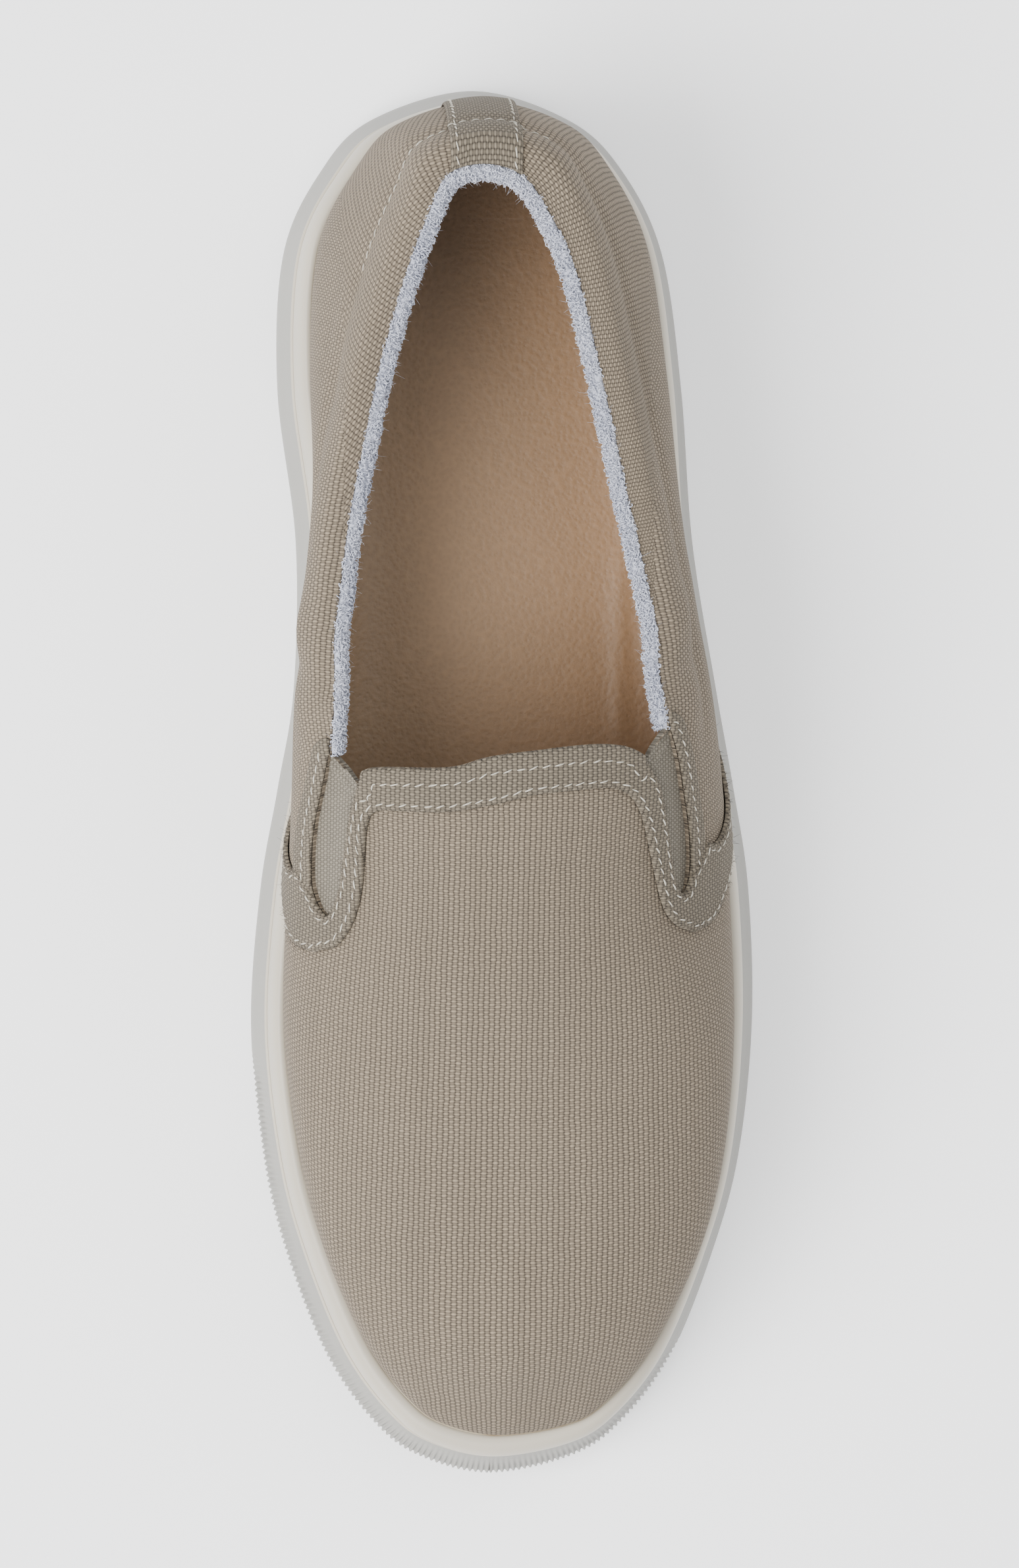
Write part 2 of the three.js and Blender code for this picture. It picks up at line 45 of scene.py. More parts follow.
# Driving sizes, the same as the solids'
LENGTH = 276
BALL_WIDTH = 101
SOLE_HEIGHT = 33.5
TOE_SPRING = 8.5
RIM_WIDTH = 7
COLLAR_RISE = 50
INSTEP_RISE = 51
COLLAR_HEIGHT = SOLE_HEIGHT + COLLAR_RISE
CANVAS = 2.2
COLLAR_PAD = 5
GAP = 0.3
INSOLE = 4
INSOLE_LIP = 1.6
CUP_DEPTH = 9
HEEL_STRIP = 13.5
TREAD_DEPTH = 1.5
TREAD_WIDTH = 2.5
TREAD_PITCH = 9
TREAD_MARGIN = 11

# Sizes that only show here
TRIM = 0.8  # height of the trim's rounded face; the solids' trim is 1 thick
TREAD_INSET = 3  # about how far the tread's edge lies inside the outline
CANVAS_SKIN = 1.0  # visible canvas, over the lining
ROLL_WIDTH = 8.7  # padded roll along the collar
ROLL_HEIGHT = 0.7  # how far the roll stands out
TROUGH_DEPTH = 0.6  # how far the line of stitches below the roll sinks in
EDGE_ROUND = 0.9  # rounding of the trim's edges
EDGE_LIFT = 0.3  # how far those edges stand off the canvas
GORE_DEPTH = (0.25, 0.8)  # gore below the canvas, at the trim and at the quarter
FOLD = 0.5  # height of the quarters' folded edges and of the heel strip
HEEL_FOLD = 1.9  # how much further the canvas turns in beside the heel, on the lateral side
TAPE_WIDTH = 3.0  # folded tape on each quarter's front edge
HEM = 2.5  # folded hem on each gore's top edge
STITCH_IN = 1.3  # a tape's edge to its row of stitches
THROAT_STITCH_IN = 3.1  # the same, from the edge of the throat
STITCH_PERIOD = 2.4
STITCH_LENGTH = 1.6
STITCH_RADIUS = 0.14
TERRY_EDGE = 0.5  # spacing of the towelling's rings along the collar
RIB_PITCH = 1.15  # ribs on the outsole's toe
RIB_DEPTH = 0.6
PARTING_RADIUS = 0.45  # bead between the rim and the wall below it
GLUE_RADIUS = 0.35  # line of glue where the canvas meets the rim
RIB_RISE = (0.19, 0.12)  # middle and spread of the ribs, as shares of the height up to the rim
RIBS_LATERAL, RIBS_MEDIAL = 3.2, 5.8  # how many sections the ribs reach from the toe tip
FINE_LATERAL, FINE_MEDIAL = 3.4, 6.2  # how far the closer stations that they need reach
LOOPS = 5000  # of the towelling
LOOP_SIZE = (0.26, 0.52)
LOOP_YARN = 0.13
TOE_FAIRED = (3, 12)  # round the ridge's start: faired in full up to here, and not at all past here
TOE_FITTED = (6, 16)  # the ring round it that the fairing follows
LAID_RADIUS = 25  # part of a flat pattern, round its centre, that is lined up with the shoe
FLOOR_DROP = 0.2  # floor below the sole, so that the two don't coincide
CAMERA_PLACE = (-0.066, 0.022, 1.2)
CAMERA_AIM = (0.0, 0.0, 0.03)
CAMERA_LENS = 137

# Sections from toe tip to heel tip, with shares of the driving sizes
SOLE = [
    # along, medial, lateral, rim width medial, rim width lateral, rim height, floor
    (0.0, 0.034, -0.034, 1.42, 1.42, 0.91, 1.0),
    (0.012, 0.172, 0.129, 1.38, 1.28, 0.904, 0.92),
    (0.036, 0.262, 0.228, 1.33, 1.12, 0.885, 0.78),
    (0.084, 0.356, 0.329, 1.28, 1.0, 0.85, 0.5),
    (0.159, 0.437, 0.414, 1.2, 0.93, 0.815, 0.18),
    (0.23, 0.482, 0.467, 1.06, 0.92, 0.795, 0.0),
    (0.326, 0.505, 0.493, 0.94, 0.98, 0.79, 0.0),
    (0.423, 0.486, 0.485, 0.9, 1.0, 0.805, 0.0),
    (0.495, 0.452, 0.455, 0.92, 0.95, 0.83, 0.06),
    (0.568, 0.42, 0.419, 0.95, 0.92, 0.86, 0.14),
    (0.674, 0.416, 0.372, 0.98, 0.9, 0.905, 0.1),
    (0.785, 0.452, 0.35, 0.95, 0.9, 0.95, 0.0),
    (0.882, 0.44, 0.312, 0.95, 0.92, 0.98, 0.0),
    (0.942, 0.366, 0.234, 1.0, 0.98, 0.99, 0.06),
    (0.979, 0.266, 0.127, 1.02, 1.0, 0.997, 0.18),
    (1.0, 0.066, -0.066, 1.05, 1.05, 1.0, 0.28),
]
SHOULDER = [
    # along, medial, lateral, height, bulge, lean
    (0.062, 0.032, -0.032, 0.2, 0.5, 46),
    (0.067, 0.109, 0.055, 0.205, 0.5, 46),
    (0.08, 0.183, 0.139, 0.225, 0.5, 46),
    (0.111, 0.262, 0.238, 0.276, 0.5, 47),
    (0.17, 0.337, 0.327, 0.346, 0.5, 48),
    (0.243, 0.379, 0.368, 0.417, 0.5, 50),
    (0.333, 0.394, 0.364, 0.52, 0.8, 50),
    (0.428, 0.384, 0.31, 0.6, 1.4, 50),
    (0.507, 0.389, 0.304, 0.725, 1.9, 52),
    (0.572, 0.404, 0.31, 0.7, 2.2, 60),
    (0.67, 0.38, 0.266, 0.65, 2.0, 65),
    (0.775, 0.327, 0.198, 0.724, 1.6, 65),
    (0.857, 0.267, 0.142, 0.864, 1.6, 65),
    (0.9, 0.223, 0.096, 0.957, 1.8, 65),
    (0.9305, 0.185, 0.042, 0.992, 2.0, 65),
    (0.9425, 0.072, -0.072, 1.0, 2.0, 65),
]
RIDGE = [
    # along, side, height
    (0.149, -0.025, 0.42),
    (0.15, -0.025, 0.424),
    (0.156, -0.025, 0.449),
    (0.172, -0.026, 0.501),
    (0.21, -0.028, 0.583),
    (0.268, -0.032, 0.678),
    (0.348, -0.037, 0.795),
    (0.431, -0.041, 0.906),
    (0.504, -0.044, 1.0),
    (0.565, -0.047, 0.97),
    (0.663, -0.052, 0.75),
    (0.754, -0.06, 0.77),
    (0.815, -0.066, 0.905),
    (0.844, -0.069, 0.985),
    (0.859, -0.07, 1.022),
    (0.866, -0.07, 1.033),
]
COLLAR_FROM = 9  # first section with a collar

# Places on the sole's profile, as shares of the rim's width inward and of the height up to its top
PARTING = (0.47, 0.45)
PARTING_BEAD = (0.46, 0.45)
UNDER_RIM = (0.9, 0.45)  # where the hidden faces between the rim and the wall end
OUTSOLE_PROFILE = [(0.4, 0.0), (0.12, 0.05), (0.0, 0.16), (0.24, 0.32), PARTING]
RIM_PROFILE = [PARTING, (0.5, 0.68), (0.53, 0.84), (0.62, 0.95), (0.76, 1.0), (0.92, 1.0), (1.0, 0.975)]

# Lines on the plan, as shares along and across
THROAT_FRONT = [
    (0.502, -0.311), (0.507, -0.307), (0.514, -0.289), (0.5145, -0.148), (0.5214, -0.076),
    (0.5257, 0.007), (0.53, 0.114), (0.5294, 0.18), (0.523, 0.222), (0.5178, 0.225),
]
TRIM_FRONT = [
    (0.4283, -0.441), (0.411, -0.43), (0.3953, -0.402), (0.3884, -0.359), (0.3957, -0.334),
    (0.4105, -0.314), (0.4326, -0.301), (0.4728, -0.294), (0.4844, -0.277), (0.485, -0.239),
    (0.4844, -0.146), (0.4902, -0.052), (0.4957, 0.009), (0.4982, 0.071), (0.5004, 0.133),
    (0.5, 0.164), (0.4946, 0.196), (0.4786, 0.221), (0.4413, 0.247), (0.4207, 0.262),
    (0.409, 0.278), (0.4022, 0.303), (0.4043, 0.333), (0.4138, 0.357), (0.4283, 0.372),
]
# Each gore's two edges, the trim's back edge beyond its foot, and the trim's limb from the side
MEDIAL = {
    "side": -1,
    "quarter": [
        (0.5239, -0.365), (0.4986, -0.378), (0.4757, -0.39), (0.4554, -0.395),
        (0.4319, -0.3945), (0.4163, -0.38), (0.4105, -0.365),
    ],
    "trim": [
        (0.502, -0.311), (0.4873, -0.322), (0.4728, -0.329), (0.4496, -0.336),
        (0.4293, -0.3435), (0.4149, -0.356),
    ],
    "turn": [(0.4105, -0.365), (0.4188, -0.387), (0.4286, -0.403), (0.4402, -0.416)],
    "limb_back": [
        (0.4105, 0.68), (0.4347, 0.62), (0.4402, 0.587), (0.4721, 0.497),
        (0.4899, 0.455), (0.529, 0.383), (0.565, 0.311),
    ],
    "limb_front": [
        (0.3877, 0.653), (0.3913, 0.6), (0.404, 0.545), (0.424, 0.497),
        (0.449, 0.443), (0.4746, 0.389), (0.5036, 0.311),
    ],
}
LATERAL = {
    "side": 1,
    "quarter": [
        (0.5413, 0.274), (0.5214, 0.291), (0.4957, 0.305), (0.4725, 0.317),
        (0.4493, 0.323), (0.4348, 0.319), (0.427, 0.31),
    ],
    "trim": [
        (0.5178, 0.225), (0.5043, 0.2505), (0.4899, 0.2614), (0.4728, 0.2713),
        (0.4496, 0.2812), (0.4319, 0.2911), (0.4254, 0.303),
    ],
    "turn": [(0.4254, 0.307), (0.4373, 0.329), (0.4518, 0.3485), (0.46, 0.355)],
    "limb_back": [
        (0.4254, 0.68), (0.4518, 0.62), (0.46, 0.587), (0.4841, 0.515),
        (0.5014, 0.473), (0.5514, 0.383), (0.587, 0.311),
    ],
    "limb_front": [
        (0.4022, 0.653), (0.4058, 0.599), (0.4185, 0.545), (0.4384, 0.491),
        (0.4638, 0.443), (0.4891, 0.395), (0.529, 0.311),
    ],
}
GORES = (MEDIAL, LATERAL)
LIMB_FROM = 0.587 * COLLAR_HEIGHT
CUT_FROM = 0.55 * COLLAR_HEIGHT
HEEL_STRIP_SIDE = -0.078

# Soft troughs and ridges of the canvas: place, direction, half length, half width, height
CREASES = [
    ((-44, 22, 60), (0.1, 0.35, -1), 12, 4.0, -0.9),
    ((-42, 31, 58), (0.0, 0.5, -1), 14, 4.5, 0.7),
    ((-43, 44, 60), (0.1, 0.8, -0.6), 16, 4.0, -0.6),
    ((33, 24, 60), (-0.1, 0.3, -1), 12, 4.0, -0.9),
    ((32, 34, 60), (0.0, 0.5, -1), 14, 4.5, 0.6),
    ((28, 60, 64), (0.1, 0.9, -0.3), 18, 4.0, -0.5),
    ((-36, 78, 60), (0.1, 0.9, -0.3), 18, 5.0, -0.6),
    ((-18, -52, 62), (1, 0.25, -0.3), 16, 6.0, -0.5),
    ((16, -60, 58), (1, -0.2, -0.4), 15, 6.0, -0.5),
    ((-2, -38, 68), (1, 0.05, 0), 22, 7.0, 0.4),
    ((-30, -66, 48), (0.5, 1, 0.4), 14, 6.0, 0.4),
    ((28, -40, 54), (0.4, -1, -0.4), 14, 6.0, 0.4),
]

LAST_ROW = len(SOLE) - 1
SECTIONS = 2 * LAST_ROW
UP = np.array([0.0, 0.0, 1.0])
LEVEL = np.array([1.0, 1.0, 0.0])


# Curves and the shoe's form
def curve_at(points, s):
    """Closed Catmull-Rom curve through the points, at the places s counted in points."""
    points = np.asarray(points, float)
    first = np.floor(s).astype(int)
    t = (s - first)[:, None]
    before, start, end, after = (points[(first + k) % len(points)] for k in (-1, 0, 1, 2))
    return 0.5 * (
        2 * start
        + (end - before) * t
        + (2 * before - 5 * start + 4 * end - after) * t**2
        + (3 * start - before - 3 * end + after) * t**3
    )


def open_curve(points, steps):
    """Open Catmull-Rom curve through the points, with steps samples from each to the next."""
    points = np.asarray(points, float)
    padded = np.vstack([points[:1], points, points[-1:], points[-1:]])
    s = np.arange((len(points) - 1) * steps + 1) / steps + 1
    return curve_at(padded, np.minimum(s, len(points) - 1e-9))


def ring(value, s):
    """Closed curve up the lateral side and back down the medial, from value(row, side)."""
    rows = [value(k, 1) for k in range(LAST_ROW + 1)]
    rows += [value(k, -1) for k in range(LAST_ROW - 1, 0, -1)]
    return curve_at(rows, s)


def unit(v):
    return v / np.maximum(np.linalg.norm(v, axis=-1, keepdims=True), 1e-9)


def plan(along, side):
    return side * BALL_WIDTH, (along - 0.5) * LENGTH


def section_point(table, k, side, height=0.0):
    row = table[k]
    return (*plan(row[0], row[2] if side > 0 else -row[1]), height)


def cubic(a, b, c, d, t):
    u = 1 - t
    return u**3 * a + 3 * u**2 * t * b + 3 * u * t**2 * c + t**3 * d


def outline_at(s):
    return ring(lambda k, side: section_point(SOLE, k, side), s)


coarse_outline = outline_at(np.arange(SECTIONS * 3) / 3)
MIDDLE = (coarse_outline.min(0) + coarse_outline.max(0)) / 2
HEEL_STRIP_MIDDLE = HEEL_STRIP_SIDE * BALL_WIDTH - MIDDLE[0]


def smoothstep(x, low, high):
    x = np.clip((x - low) / (high - low), 0, 1)
    return x * x * (3 - 2 * x)


def hill(x, middle, width):
    return np.exp(-(((x - middle) / width) ** 2))


def creases(points):
    """Height of the canvas's troughs and ridges at the points."""
    height = np.zeros(points.shape[:-1])
    for place, direction, length, width, rise in CREASES:
        away = points - np.array(place)
        along = away @ unit(np.array(direction, float))
        across = np.sqrt(np.maximum((away**2).sum(-1) - along**2, 0))
        height += rise * hill(along, 0, length) * hill(across, 0, width)
    return height


class Form:
    """The shoe's form at stations s round its outline: 0 is the toe tip, LAST_ROW the heel tip."""

    def __init__(self, s, wall_rows=44, deck_rows=40):
        def numbers(value):
            return ring(lambda k, side: (value(k, side),), s)[:, 0]

        self.s = s
        self.wall_rows = wall_rows
        self.outline = outline_at(s) - MIDDLE
        ahead = outline_at(s + 1e-3) - outline_at(s - 1e-3)
        self.outward = unit(np.stack([ahead[:, 1], -ahead[:, 0], 0 * ahead[:, 0]], 1))
        self.rim_top = numbers(lambda k, side: SOLE[k][5] * SOLE_HEIGHT)
        self.floor = np.maximum(0, numbers(lambda k, side: SOLE[k][6] * TOE_SPRING))
        self.rim_width = numbers(lambda k, side: SOLE[k][4 if side > 0 else 3] * RIM_WIDTH)
        self.collar = np.clip(numbers(lambda k, side: float(k >= COLLAR_FROM)), 0, 1)
        bulge = numbers(lambda k, side: SHOULDER[k][4] * CANVAS)[:, None]
        lean = np.radians(numbers(lambda k, side: SHOULDER[k][5]))[:, None]
        shoulder = ring(lambda k, side: section_point(SHOULDER, k, side, SHOULDER[k][3] * COLLAR_RISE), s)
        ridge = ring(lambda k, side: (*plan(RIDGE[k][0], RIDGE[k][1]), RIDGE[k][2] * INSTEP_RISE), s)
        for line in (shoulder, ridge):
            line -= MIDDLE
            line[:, 2] += self.rim_top
        foot = self.outline - self.outward * (self.rim_width + GAP)[:, None]
        foot[:, 2] = self.rim_top
        inward = unit((ridge - foot) * LEVEL)
        rise = (shoulder - foot)[:, 2:]
        slope = inward * np.cos(lean) + UP * np.sin(lean)
        low = foot - inward * bulge + UP * 0.4 * rise
        high = shoulder - slope * 0.35 * rise
        lift = (ridge - shoulder)[:, 2:] * 0.55 / np.sin(lean)
        over = shoulder + slope * np.maximum(3, lift)
        across = np.linalg.norm(ridge - shoulder, axis=1, keepdims=True)
        near = ridge - inward * 0.45 * across
        wall = [cubic(foot, low, high, shoulder, t) for t in np.linspace(0, 1, wall_rows + 1)]
        deck = [cubic(shoulder, over, near, ridge, t) for t in np.linspace(0, 1, deck_rows + 1)[1:]]
        self.face = np.stack(wall + deck, 1)
        self.normal = self.normals()
        self.out = unit(self.normal[:, wall_rows] * LEVEL)
        self.climb = self.lengths()
        self.face = self.face + self.normal * self.relief()[..., None]
        self.normal = self.normals()

    def normals(self):
        across = np.gradient(self.face, axis=0)
        if np.ptp(self.s) > SECTIONS - 1:
            across = np.roll(self.face, -1, 0) - np.roll(self.face, 1, 0)
        normal = unit(np.cross(across, np.gradient(self.face, axis=1)))
        ahead = unit(across[:, -1])
        normal[:, -1] = unit(UP - ahead * ahead[:, 2:])
        return normal

    def lengths(self):
        """Distance along each station's line from the shoulder, negative down the wall."""
        steps = np.linalg.norm(np.diff(self.face, axis=1), axis=-1)
        length = np.concatenate([np.zeros((len(self.s), 1)), np.cumsum(steps, 1)], 1)
        return length - length[:, self.wall_rows : self.wall_rows + 1]

    def relief(self):
        """Height of the collar's padded roll, the trough under it and the creases."""
        roll = ROLL_HEIGHT * hill(self.climb, -0.3 * ROLL_WIDTH, 0.45 * ROLL_WIDTH)
        trough = TROUGH_DEPTH * hill(self.climb, -ROLL_WIDTH, 2.3)
        turned_in = 1.3 * smoothstep(self.climb, 1.5, 7) * smoothstep(self.collar[:, None], 0.85, 1)
        free = smoothstep(self.face[..., 2] - self.rim_top[:, None], 1, 10)
        return (roll - trough) * self.collar[:, None] - turned_in + creases(self.face) * free

    def at_climb(self, climb):
        """Points and normals on the wall at a distance from the shoulder."""
        rows = np.arange(self.climb.shape[1])
        place = np.array([np.interp(climb, line, rows) for line in self.climb])
        low = np.floor(place).astype(int)
        t = (place - low)[:, None]
        i = np.arange(len(self.s))
        mix = [a[i, low] * (1 - t) + a[i, low + 1] * t for a in (self.face, self.normal)]
        return mix[0], unit(mix[1])

    def sole_ring(self, inset, height):
        points = self.outline - self.outward * np.broadcast_to(inset, self.s.shape)[:, None]
        points[:, 2] = height
        return points

    def profile_ring(self, inward, up):
        return self.sole_ring(inward * self.rim_width, self.floor + up * (self.rim_top - self.floor))

    def wall_thickness(self):
        rows = np.minimum(np.arange(self.face.shape[1]) / self.wall_rows, 1)
        return CANVAS + (COLLAR_PAD - CANVAS) * self.collar[:, None] * smoothstep(rows, 0.4, 1)


# Lines drawn on the plan and seen from the side, and distances to them
def plan_line(rows, steps=6):
    return open_curve([plan(*row) for row in rows], steps) - MIDDLE[:2]


def side_line(rows, steps=6):
    points = [((along - 0.5) * LENGTH, high * COLLAR_HEIGHT) for along, high in rows]
    return open_curve(points, steps) - np.array([MIDDLE[1], 0])


def distance_to_line(points, line, closed):
    a = line if closed else line[:-1]
    run = (np.roll(line, -1, 0) if closed else line[1:]) - a
    run = np.where(np.abs(run) < 1e-9, 1e-9, run)
    t = np.clip(((points[:, None] - a) * run).sum(-1) / (run**2).sum(-1), 0, 1)
    return np.sqrt(((points[:, None] - a - t[..., None] * run) ** 2).sum(-1)).min(1)


def inside(points, polygon, reach=12):
    """Distance to the polygon's edge, positive inside it, and -reach well away from it."""
    result = np.full(len(points), -float(reach))
    near = ((points > polygon.min(0) - reach) & (points < polygon.max(0) + reach)).all(1)
    for chosen in np.array_split(np.flatnonzero(near), max(1, near.sum() // 3000)):
        p = points[chosen]
        after = np.roll(polygon, -1, 0)
        crossed = (polygon[:, 1] > p[:, 1:]) != (after[:, 1] > p[:, 1:])
        rise = np.where(after[:, 1] == polygon[:, 1], 1e-9, after[:, 1] - polygon[:, 1])
        x = polygon[:, 0] + (p[:, 1:] - polygon[:, 1]) * (after[:, 0] - polygon[:, 0]) / rise
        odd = (crossed & (p[:, :1] < x)).sum(1) % 2
        distance = distance_to_line(p, polygon, True)
        result[chosen] = np.where(odd, distance, -distance)
    return result


def smooth_line(line, passes):
    for _ in range(passes):
        line = np.vstack([line[:1], (line[:-2] + 2 * line[1:-1] + line[2:]) / 4, line[-1:]])
    return line


def gone_along(line):
    """Distance gone along a line, at each of its points."""
    return np.concatenate([[0], np.cumsum(np.linalg.norm(np.diff(line, axis=0), axis=1))])


def resample(line, spacing):
    gone = gone_along(line)
    places = np.linspace(0, gone[-1], int(gone[-1] / spacing) + 1)
    return np.stack([np.interp(places, gone, line[:, k]) for k in range(line.shape[1])], 1)


# A sheet is an array of vertices and one of triangles. A vertex has x, y, z and its normal, and on
# cloth its two weave coordinates and then any distances that the sheet is cut along.
WEAVE_COLUMN = 6
LEVEL_COLUMN = 8


def grid_sheet(points, normals, *weave_place, wrap=False):
    data = np.concatenate([points, normals, *weave_place], -1)
    count, rows = data.shape[:2]
    i, r = np.meshgrid(np.arange(count if wrap else count - 1), np.arange(rows - 1), indexing="ij")
    a = (i * rows + r).ravel()
    b = ((i + 1) % count * rows + r).ravel()
    triangles = np.concatenate([np.stack([a, b, b + 1], 1), np.stack([a, b + 1, a + 1], 1)])
    return data.reshape(-1, data.shape[-1]), triangles


def keep(sheet, chosen):
    """The sheet's chosen triangles and the vertices that they use."""
    data, triangles = sheet
    used, index = np.unique(triangles[chosen], return_inverse=True)
    return data[used], index.reshape(-1, 3)


def split(sheet, level):
    """The sheet with its triangles cut along level 0, and the level of each vertex."""
    data, triangles = sheet
    level = np.where(np.abs(level) < 1e-4, 1e-4, level)
    sign = level[triangles] > 0
    mixed = sign.any(1) & ~sign.all(1)
    cut = triangles[mixed]
    lone = np.where(sign[mixed].sum(1) == 1, sign[mixed].argmax(1), (~sign[mixed]).argmax(1))
    a, b, c = (cut[np.arange(len(cut)), (lone + k) % 3] for k in range(3))
    pairs = np.sort(np.concatenate([np.stack([a, b], 1), np.stack([a, c], 1)]), 1)
    edges, where = np.unique(pairs, axis=0, return_inverse=True)
    t = (level[edges[:, 0]] / (level[edges[:, 0]] - level[edges[:, 1]]))[:, None]
    added = data[edges[:, 0]] * (1 - t) + data[edges[:, 1]] * t
    p, q = np.split(len(data) + where.ravel(), 2)
    parts = [np.stack([a, p, q], 1), np.stack([p, b, c], 1), np.stack([p, c, q], 1)]
    triangles = np.concatenate([triangles[~mixed], *parts])
    return (np.vstack([data, added]), triangles), np.concatenate([level, np.zeros(len(added))])


def clip(sheet, level):
    sheet, level = split(sheet, level)
    return keep(sheet, level[sheet[1]].sum(1) > 0)


def with_level(sheet, level):
    return np.hstack([sheet[0], level[:, None]]), sheet[1]


def border(triangles):
    """Edges that only one triangle has, in that triangle's order."""
    edges = np.concatenate([triangles[:, [0, 1]], triangles[:, [1, 2]], triangles[:, [2, 0]]])
    _, index, count = np.unique(np.sort(edges, 1), axis=0, return_index=True, return_counts=True)
    return edges[index[count == 1]]


def slab(sheet, top, bottom):
    """A closed sheet between two distances along its normals."""
    data, triangles = sheet
    count = len(data)
    upper, lower = data.copy(), data.copy()
    upper[:, :3] += data[:, 3:6] * np.broadcast_to(top, count)[:, None]
    lower[:, :3] += data[:, 3:6] * np.broadcast_to(bottom, count)[:, None]
    a, b = border(triangles).T
    walls = np.concatenate([np.stack([a, a + count, b], 1), np.stack([b, a + count, b + count], 1)])
    return np.vstack([upper, lower]), np.concatenate([triangles, triangles[:, ::-1] + count, walls])


def on_surface(field, data):
    """A distance field's value at each vertex, measured along the surface."""
    value = field(data[:, :3])
    step = 0.05
    slope = np.stack([(field(data[:, :3] + step * axis) - value) / step for axis in np.eye(3)], 1)
    slope -= data[:, 3:6] * (slope * data[:, 3:6]).sum(1, keepdims=True)
    return value / np.clip(np.linalg.norm(slope, axis=1), 0.35, 1)


def smooth_normals(sheet):
    """The sheet with each vertex's normal averaged from its triangles."""
    data, triangles = sheet
    a, b, c = (data[triangles[:, k], :3] for k in range(3))
    total = np.zeros((len(data), 3))
    for k in range(3):
        np.add.at(total, triangles[:, k], np.cross(b - a, c - a))
    data = data.copy()
    data[:, 3:6] = unit(total)
    return data, triangles


def join_sheets(sheets):
    count, data, triangles = 0, [], []
    for part, faces in sheets:
        data.append(part)
        triangles.append(faces + count)
        count += len(part)
    return np.vstack(data), np.vstack(triangles)


def weld(sheet, reach=0.002):
    """The sheet with its vertices that lie together made one."""
    data, triangles = sheet
    key = np.round(data[:, :3] / reach).astype(int)
    _, first, index = np.unique(key, axis=0, return_index=True, return_inverse=True)
    triangles = index.ravel()[triangles]
    a, b, c = triangles.T
    return data[first], triangles[(a != b) & (b != c) & (c != a)]


def level_paths(sheet, level, shortest=8):
    """Paths along level 0 of a sheet, as points and normals."""
    cut, new_level = split(sheet, level)
    chosen = new_level[cut[1]].sum(1) > 0
    on_line = new_level[np.unique(cut[1][chosen])] == 0
    data, triangles = keep(cut, chosen)
    edges = border(triangles)
    following = {int(a): int(b) for a, b in edges[on_line[edges].all(1)]}
    starts = set(following) - set(following.values())
    paths = []
    while following:
        here = starts.pop() if starts else next(iter(following))
        run = [here]
        while here in following:
            here = following.pop(here)
            run.append(here)
        if np.linalg.norm(np.diff(data[run, :3], axis=0), axis=1).sum() > shortest:
            paths.append((data[run, :3], data[run, 3:6]))
    return paths


# Objects
def new_object(name, content):
    made = bpy.data.objects.new(name, content)
    bpy.context.collection.objects.link(made)
    return made


def make_object(name, sheet, material, *nodes, sharp=40):
    data, triangles = sheet
    mesh = bpy.data.meshes.new(name)
    mesh.vertices.add(len(data))
    mesh.vertices.foreach_set("co", (data[:, :3] * MM).ravel())
    mesh.loops.add(triangles.size)
    mesh.loops.foreach_set("vertex_index", triangles.ravel())
    mesh.polygons.add(len(triangles))
    mesh.polygons.foreach_set("loop_start", np.arange(len(triangles)) * 3)
    mesh.polygons.foreach_set("use_smooth", np.ones(len(triangles), bool))
    mesh.update(calc_edges=True)
    mesh.set_sharp_from_angle(angle=math.radians(sharp))
    if data.shape[1] > WEAVE_COLUMN:
        layer = mesh.uv_layers.new(name="weave")
        layer.data.foreach_set("uv", data[triangles.ravel(), WEAVE_COLUMN:LEVEL_COLUMN].ravel())
    mesh.materials.append(material)
    piece = new_object(name, mesh)
    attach(piece, "root")
    if nodes:
        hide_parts(*nodes)


def tubes(paths, radius, sides=4):
    """Thin tubes along many short paths with the same number of points."""
    count, points = paths.shape[:2]
    ahead = unit(np.gradient(paths, axis=1))
    aside = unit(np.cross(ahead, unit(random.normal(size=(count, 1, 3)))))
    above = np.cross(ahead, aside)
    turn = (np.arange(sides) / sides * 2 * math.pi)[:, None]
    circle = np.cos(turn) * aside[:, :, None] + np.sin(turn) * above[:, :, None]
    radius = np.broadcast_to(radius, (count, points))[..., None, None]
    vertices = (paths[:, :, None] + circle * radius).reshape(-1, 3)
    base, row, side = np.meshgrid(np.arange(count), np.arange(points - 1), np.arange(sides), indexing="ij")
    a = ((base * points + row) * sides + side).ravel()
    b = ((base * points + row) * sides + (side + 1) % sides).ravel()
    triangles = np.concatenate([np.stack([a, b, b + sides], 1), np.stack([a, b + sides, a + sides], 1)])
    return vertices, triangles


# Materials
def node(tree, kind, values=None, **settings):
    made = tree.nodes.new(kind)
    for name, value in settings.items():
        setattr(made, name, value)
    for name, value in (values or {}).items():
        if isinstance(value, bpy.types.NodeSocket):
            tree.links.new(value, made.inputs[name])
        else:
            made.inputs[name].default_value = value
    return made


def calc(tree, operation, a, b=0.0, c=0.0):
    return node(tree, "ShaderNodeMath", {0: a, 1: b, 2: c}, operation=operation).outputs[0]


def colour(red, green, blue):
    """A shader's colour from a display colour of 0 to 255."""
    return (*[((v / 255 + 0.055) / 1.055) ** 2.4 for v in (red, green, blue)], 1)


def blend(tree, share, first, second):
    mixed = node(tree, "ShaderNodeMix", data_type="RGBA")
    for place, value in (("Factor", share), ("A", first), ("B", second)):
        socket = next(s for s in mixed.inputs if s.name == place and s.enabled)
        if isinstance(value, bpy.types.NodeSocket):
            tree.links.new(value, socket)
        else:
            socket.default_value = value
    return next(s for s in mixed.outputs if s.enabled)


